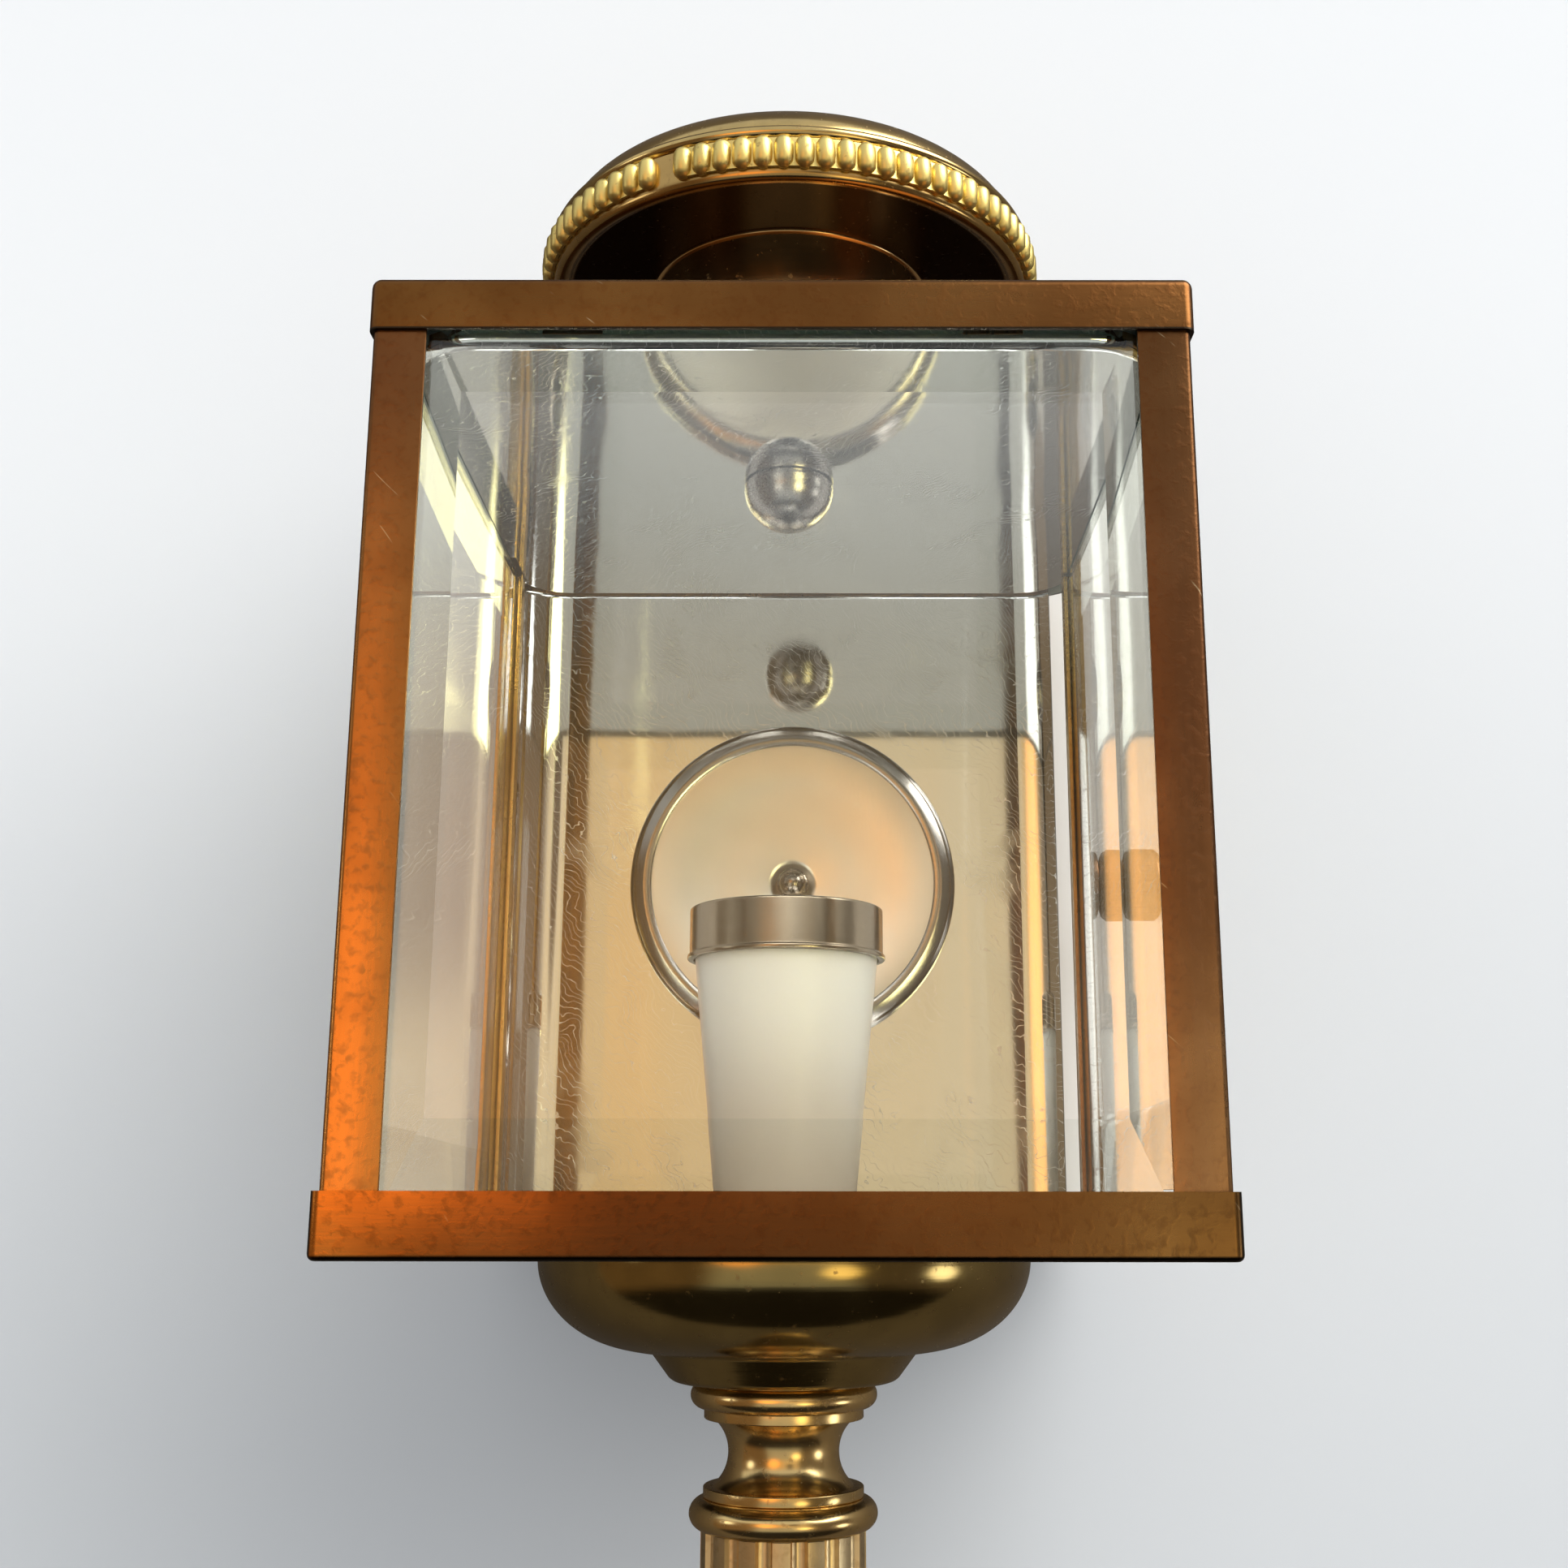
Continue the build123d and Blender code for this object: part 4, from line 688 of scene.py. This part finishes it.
nut_low, nut_high = box_in_mm("dome_nut")
nut_nickel = brushed_nickel("nut_nickel", (1, 1, 1), 0.2, (0.33, 0.3, 0.27))
turned("half_ball_nut", [(0, nut_high.z, 0), (9.9, nut_high.z, 0), (9.9, nut_high.z - 0.3, 0),
                         (10.6, nut_high.z - 0.5, 0.15), (10.6, nut_low.z, 10.4), (0, nut_low.z, 0)],
       nut_nickel, ["dome_nut"], segments=96)


# Reflector: a dished disc of satin aluminium with a darker rolled rim, held to the back by a
# cap nut in its dimple.
disc_back = box_in_mm("round_reflector")[1].y
wall_axis = Matrix.Translation((0, disc_back * mm, 0)) @ Matrix.Rotation(math.pi / 2, 4, "X")
satin = Finish("reflector_satin", metallic=1.0)
brushed = satin.noise(0.0009, 3.0, (1, 1, 0.15))
blotch = satin.noise(0.012, 3.0)
satin.feed("Base Color", satin.blend(blotch, (0.74, 0.69, 0.6), (0.84, 0.79, 0.7)))
satin.feed("Roughness", 0.26 + 0.12 * brushed)
satin.bump(brushed, 0.00003)
turned("reflector_dish", [(2.6, 0.7, 0), (4.4, 0.7, 0.3), (6.0, 1.9, 0.8), (22, 2.3, 6), (39.3, 4.5, 0.2),
                          (39.3, 3.8, 0), (22, 1.6, 6), (6.3, 1.2, 0.8), (4.6, 0, 0.3), (2.6, 0, 0)],
       satin.owner, ["round_reflector"], place=wall_axis)
turned("reflector_rim", [(37.9, 0.05, 1.5), (43.8, 0.05, 1.5), (43.8, 4.2, 1.8), (39.2, 6.0, 1.2),
                         (37.9, 5.4, 0.5)],
       brushed_nickel("rim_satin", (1, 1, 1), 0.12, (0.38, 0.35, 0.32)), ["round_reflector"],
       place=wall_axis)
turned("cap_nut", [(0, 0.75, 0), (4.3, 0.75, 0.3), (4.3, 2.3, 0.4), (3.6, 2.6, 0), (3.6, 6.6, 3.5),
                   (0, 6.6, 0)],
       brushed_nickel("cap_nut_nickel", (1, 1, 1), 0.2, (0.3, 0.25, 0.2)), ["reflector_nut"],
       place=wall_axis, segments=64)
dress(plain_metal("black_rubber", (0.05, 0.05, 0.05), 0.6, metallic=0.0), "wall_pads", "cable_grommet")


# Lampholder: a tapered cream plastic sleeve, painted darker and warmer towards its foot as shade and warm
# reflected light, under a brushed nickel ring. The insulator and the plain shell sit inside.
cream = Finish("cream_plastic")
painted_shade_rise = cream.height().between(-0.085, -0.035)
mottle = cream.noise(0.02, 2.0)
# Darker and browner towards the foot: painted shade and warm reflected light.
cream.feed("Base Color", cream.blend(painted_shade_rise, (0.55, 0.45, 0.34), (0.97, 0.95, 0.89)))
cream.feed("Roughness", 0.3 + 0.1 * mottle)
cream.bump(mottle, 0.00005)
sleeve_low, sleeve_high = box_in_mm("lampholder_sleeve")
turned("tapered_sleeve", [(14.4, sleeve_low.z, 0.2), (20.5, sleeve_high.z, 0), (19.1, sleeve_high.z, 0),
                          (13.0, sleeve_low.z, 0)], cream.owner, ["lampholder_sleeve"])
ring_low, ring_high = box_in_mm("lampholder_ring")
turned("nickel_ring", [(16.6, ring_high.z, 0.2), (21.6, ring_high.z, 0.6), (21.6, ring_low.z + 1.3, 0.15),
                       (22.1, ring_low.z + 1.0, 0.2), (22.1, ring_low.z + 0.1, 0.3), (21.4, ring_low.z, 0.1),
                       (20.7, ring_low.z, 0), (20.7, ring_high.z - 0.9, 0), (16.6, ring_high.z - 0.9, 0)],
       brushed_nickel("ring_nickel", (0.03, 0.03, 1), 0.16, (0.28, 0.23, 0.17)), ["lampholder_ring"])
dress(plain_metal("dark_insulator", (0.09, 0.085, 0.08), 0.4, metallic=0.0), "lampholder_insert",
      "lampholder_base", "terminal_block")
dress(plain_metal("shell_brass", (0.75, 0.55, 0.25), 0.25), "lampholder_shell")


# Bowl: spun brass, closed by the floor tray. Its belly turns through a tight cove into a sloping
# skirt with a rounded foot.
def arc(centre, radii, first, last, count=24):
    """Outline points on an ellipse between two angles in degrees."""
    turns = [math.radians(first + (last - first) * step / count) for step in range(count + 1)]
    return [(centre[0] + radii[0] * math.cos(turn), centre[1] + radii[1] * math.sin(turn), 0)
            for turn in turns]


def ring_bead(top):
    """Half-round bead on the outside of the column, from its top height in millimetres down."""
    half = 3.15
    return [(0, top, 0)] + arc((16.65, top - half), (half, half), 90, -90, 18)


bowl_brass = polished_brass("bowl_brass", (0.44, 0.32, 0.12))
bowl_low, bowl_high = box_in_mm("bowl")
rim = bowl_high.z
bowl_outline = [(0, rim, 0), (52.8, rim, 0.3)]
bowl_outline += arc((29.7, rim - 1.5), (23.1, 18.9), 0, -90, 40)
bowl_outline += arc((29.7, rim - 22.0), (1.6, 1.6), 90, 142.5, 10)[1:]
bowl_outline += arc((22.4, bowl_low.z + 3.0), (3.0, 3.0), -37.5, -90, 14)
turned("spun_bowl", bowl_outline + [(0, bowl_low.z, 0)], bowl_brass, ["bowl"])


# Stem and column: a turned stem, a beaded ring, a fluted tube, a foot and a ball finial, all
# threaded on the centre tube.
stem_brass = polished_brass("stem_brass", (0.9, 0.64, 0.28), 0.15)
top = box_in_mm("turned_stem")[1].z
stem_outline = [(0, top, 0)] + arc((17.1, top - 2.7), (2.7, 2.7), 90, -90, 18)
stem_outline += [(16.9, top - 5.5, 0), (16.9, top - 7.5, 0.3), (14.6, top - 7.6, 0.2)]
stem_outline += arc((20.2, top - 14.2), (8.5, 8.5), 128, 232, 24)
stem_outline += [(14.6, top - 20.8, 0.2), (16.9, top - 20.9, 0.3), (16.9, top - 23.1, 0.3),
                 (0, top - 23.1, 0)]
turned("turned_stem_brass", stem_outline, stem_brass, ["turned_stem"])
ring_top = box_in_mm("turned_stem")[0].z
turned("ring_bead", ring_bead(ring_top) + [(0, ring_top - 6.3, 0)], stem_brass, ["column_ring"])

pale_brass = (0.9, 0.74, 0.44)
column_brass = tarnish_and_sheen_brass("column_brass", ((-260, pale_brass), (-150, pale_brass)), rough=0.24)
low, high = box_in_mm("fluted_column")
column = bmesh.new()
flute_count, flute_steps, flute_depth = 15, 16, 1.5
column_radius = 17.3
bmesh.ops.create_cone(column, cap_ends=True, segments=flute_count * flute_steps,
                      radius1=column_radius * mm, radius2=column_radius * mm, depth=(high.z - low.z) * mm,
                      matrix=Matrix.Translation((0, 0, (low.z + high.z) / 2 * mm)))
for corner in column.verts:
    turn = math.atan2(corner.co.y, corner.co.x) + math.pi / 2
    share = (turn / (2 * math.pi) * flute_count) % 1.0
    across = abs((share - 0.5) * 4)
    if across < 1:
        inset = 1 - flute_depth / column_radius * math.sqrt(1 - across ** 2)
        corner.co.x *= inset
        corner.co.y *= inset
bmesh.ops.transform(column, matrix=lamp_axis, verts=column.verts)
finished("fluted_tube", column, column_brass, ["fluted_column"], crease=28)

foot_top = box_in_mm("fluted_column")[0].z
turned("turned_foot", ring_bead(foot_top)
       + [(16.5, foot_top - 6.5, 0.2), (9.6, foot_top - 9.5, 5), (9.0, foot_top - 20.3, 0.3),
          (0, foot_top - 20.3, 0)],
       stem_brass, ["column_foot"])
neck = box_in_mm("bottom_finial")[1].z
turned("ball_finial", [(0, neck, 0), (7.3, neck, 0.5), (6.2, neck - 3.6, 1.0), (11, neck - 5.0, 6.5),
                       (11, neck - 24, 9.5), (3.2, neck - 25.2, 0.8), (3.2, neck - 28.6, 2.6),
                       (0, neck - 28.7, 0)],
       stem_brass, ["bottom_finial"])
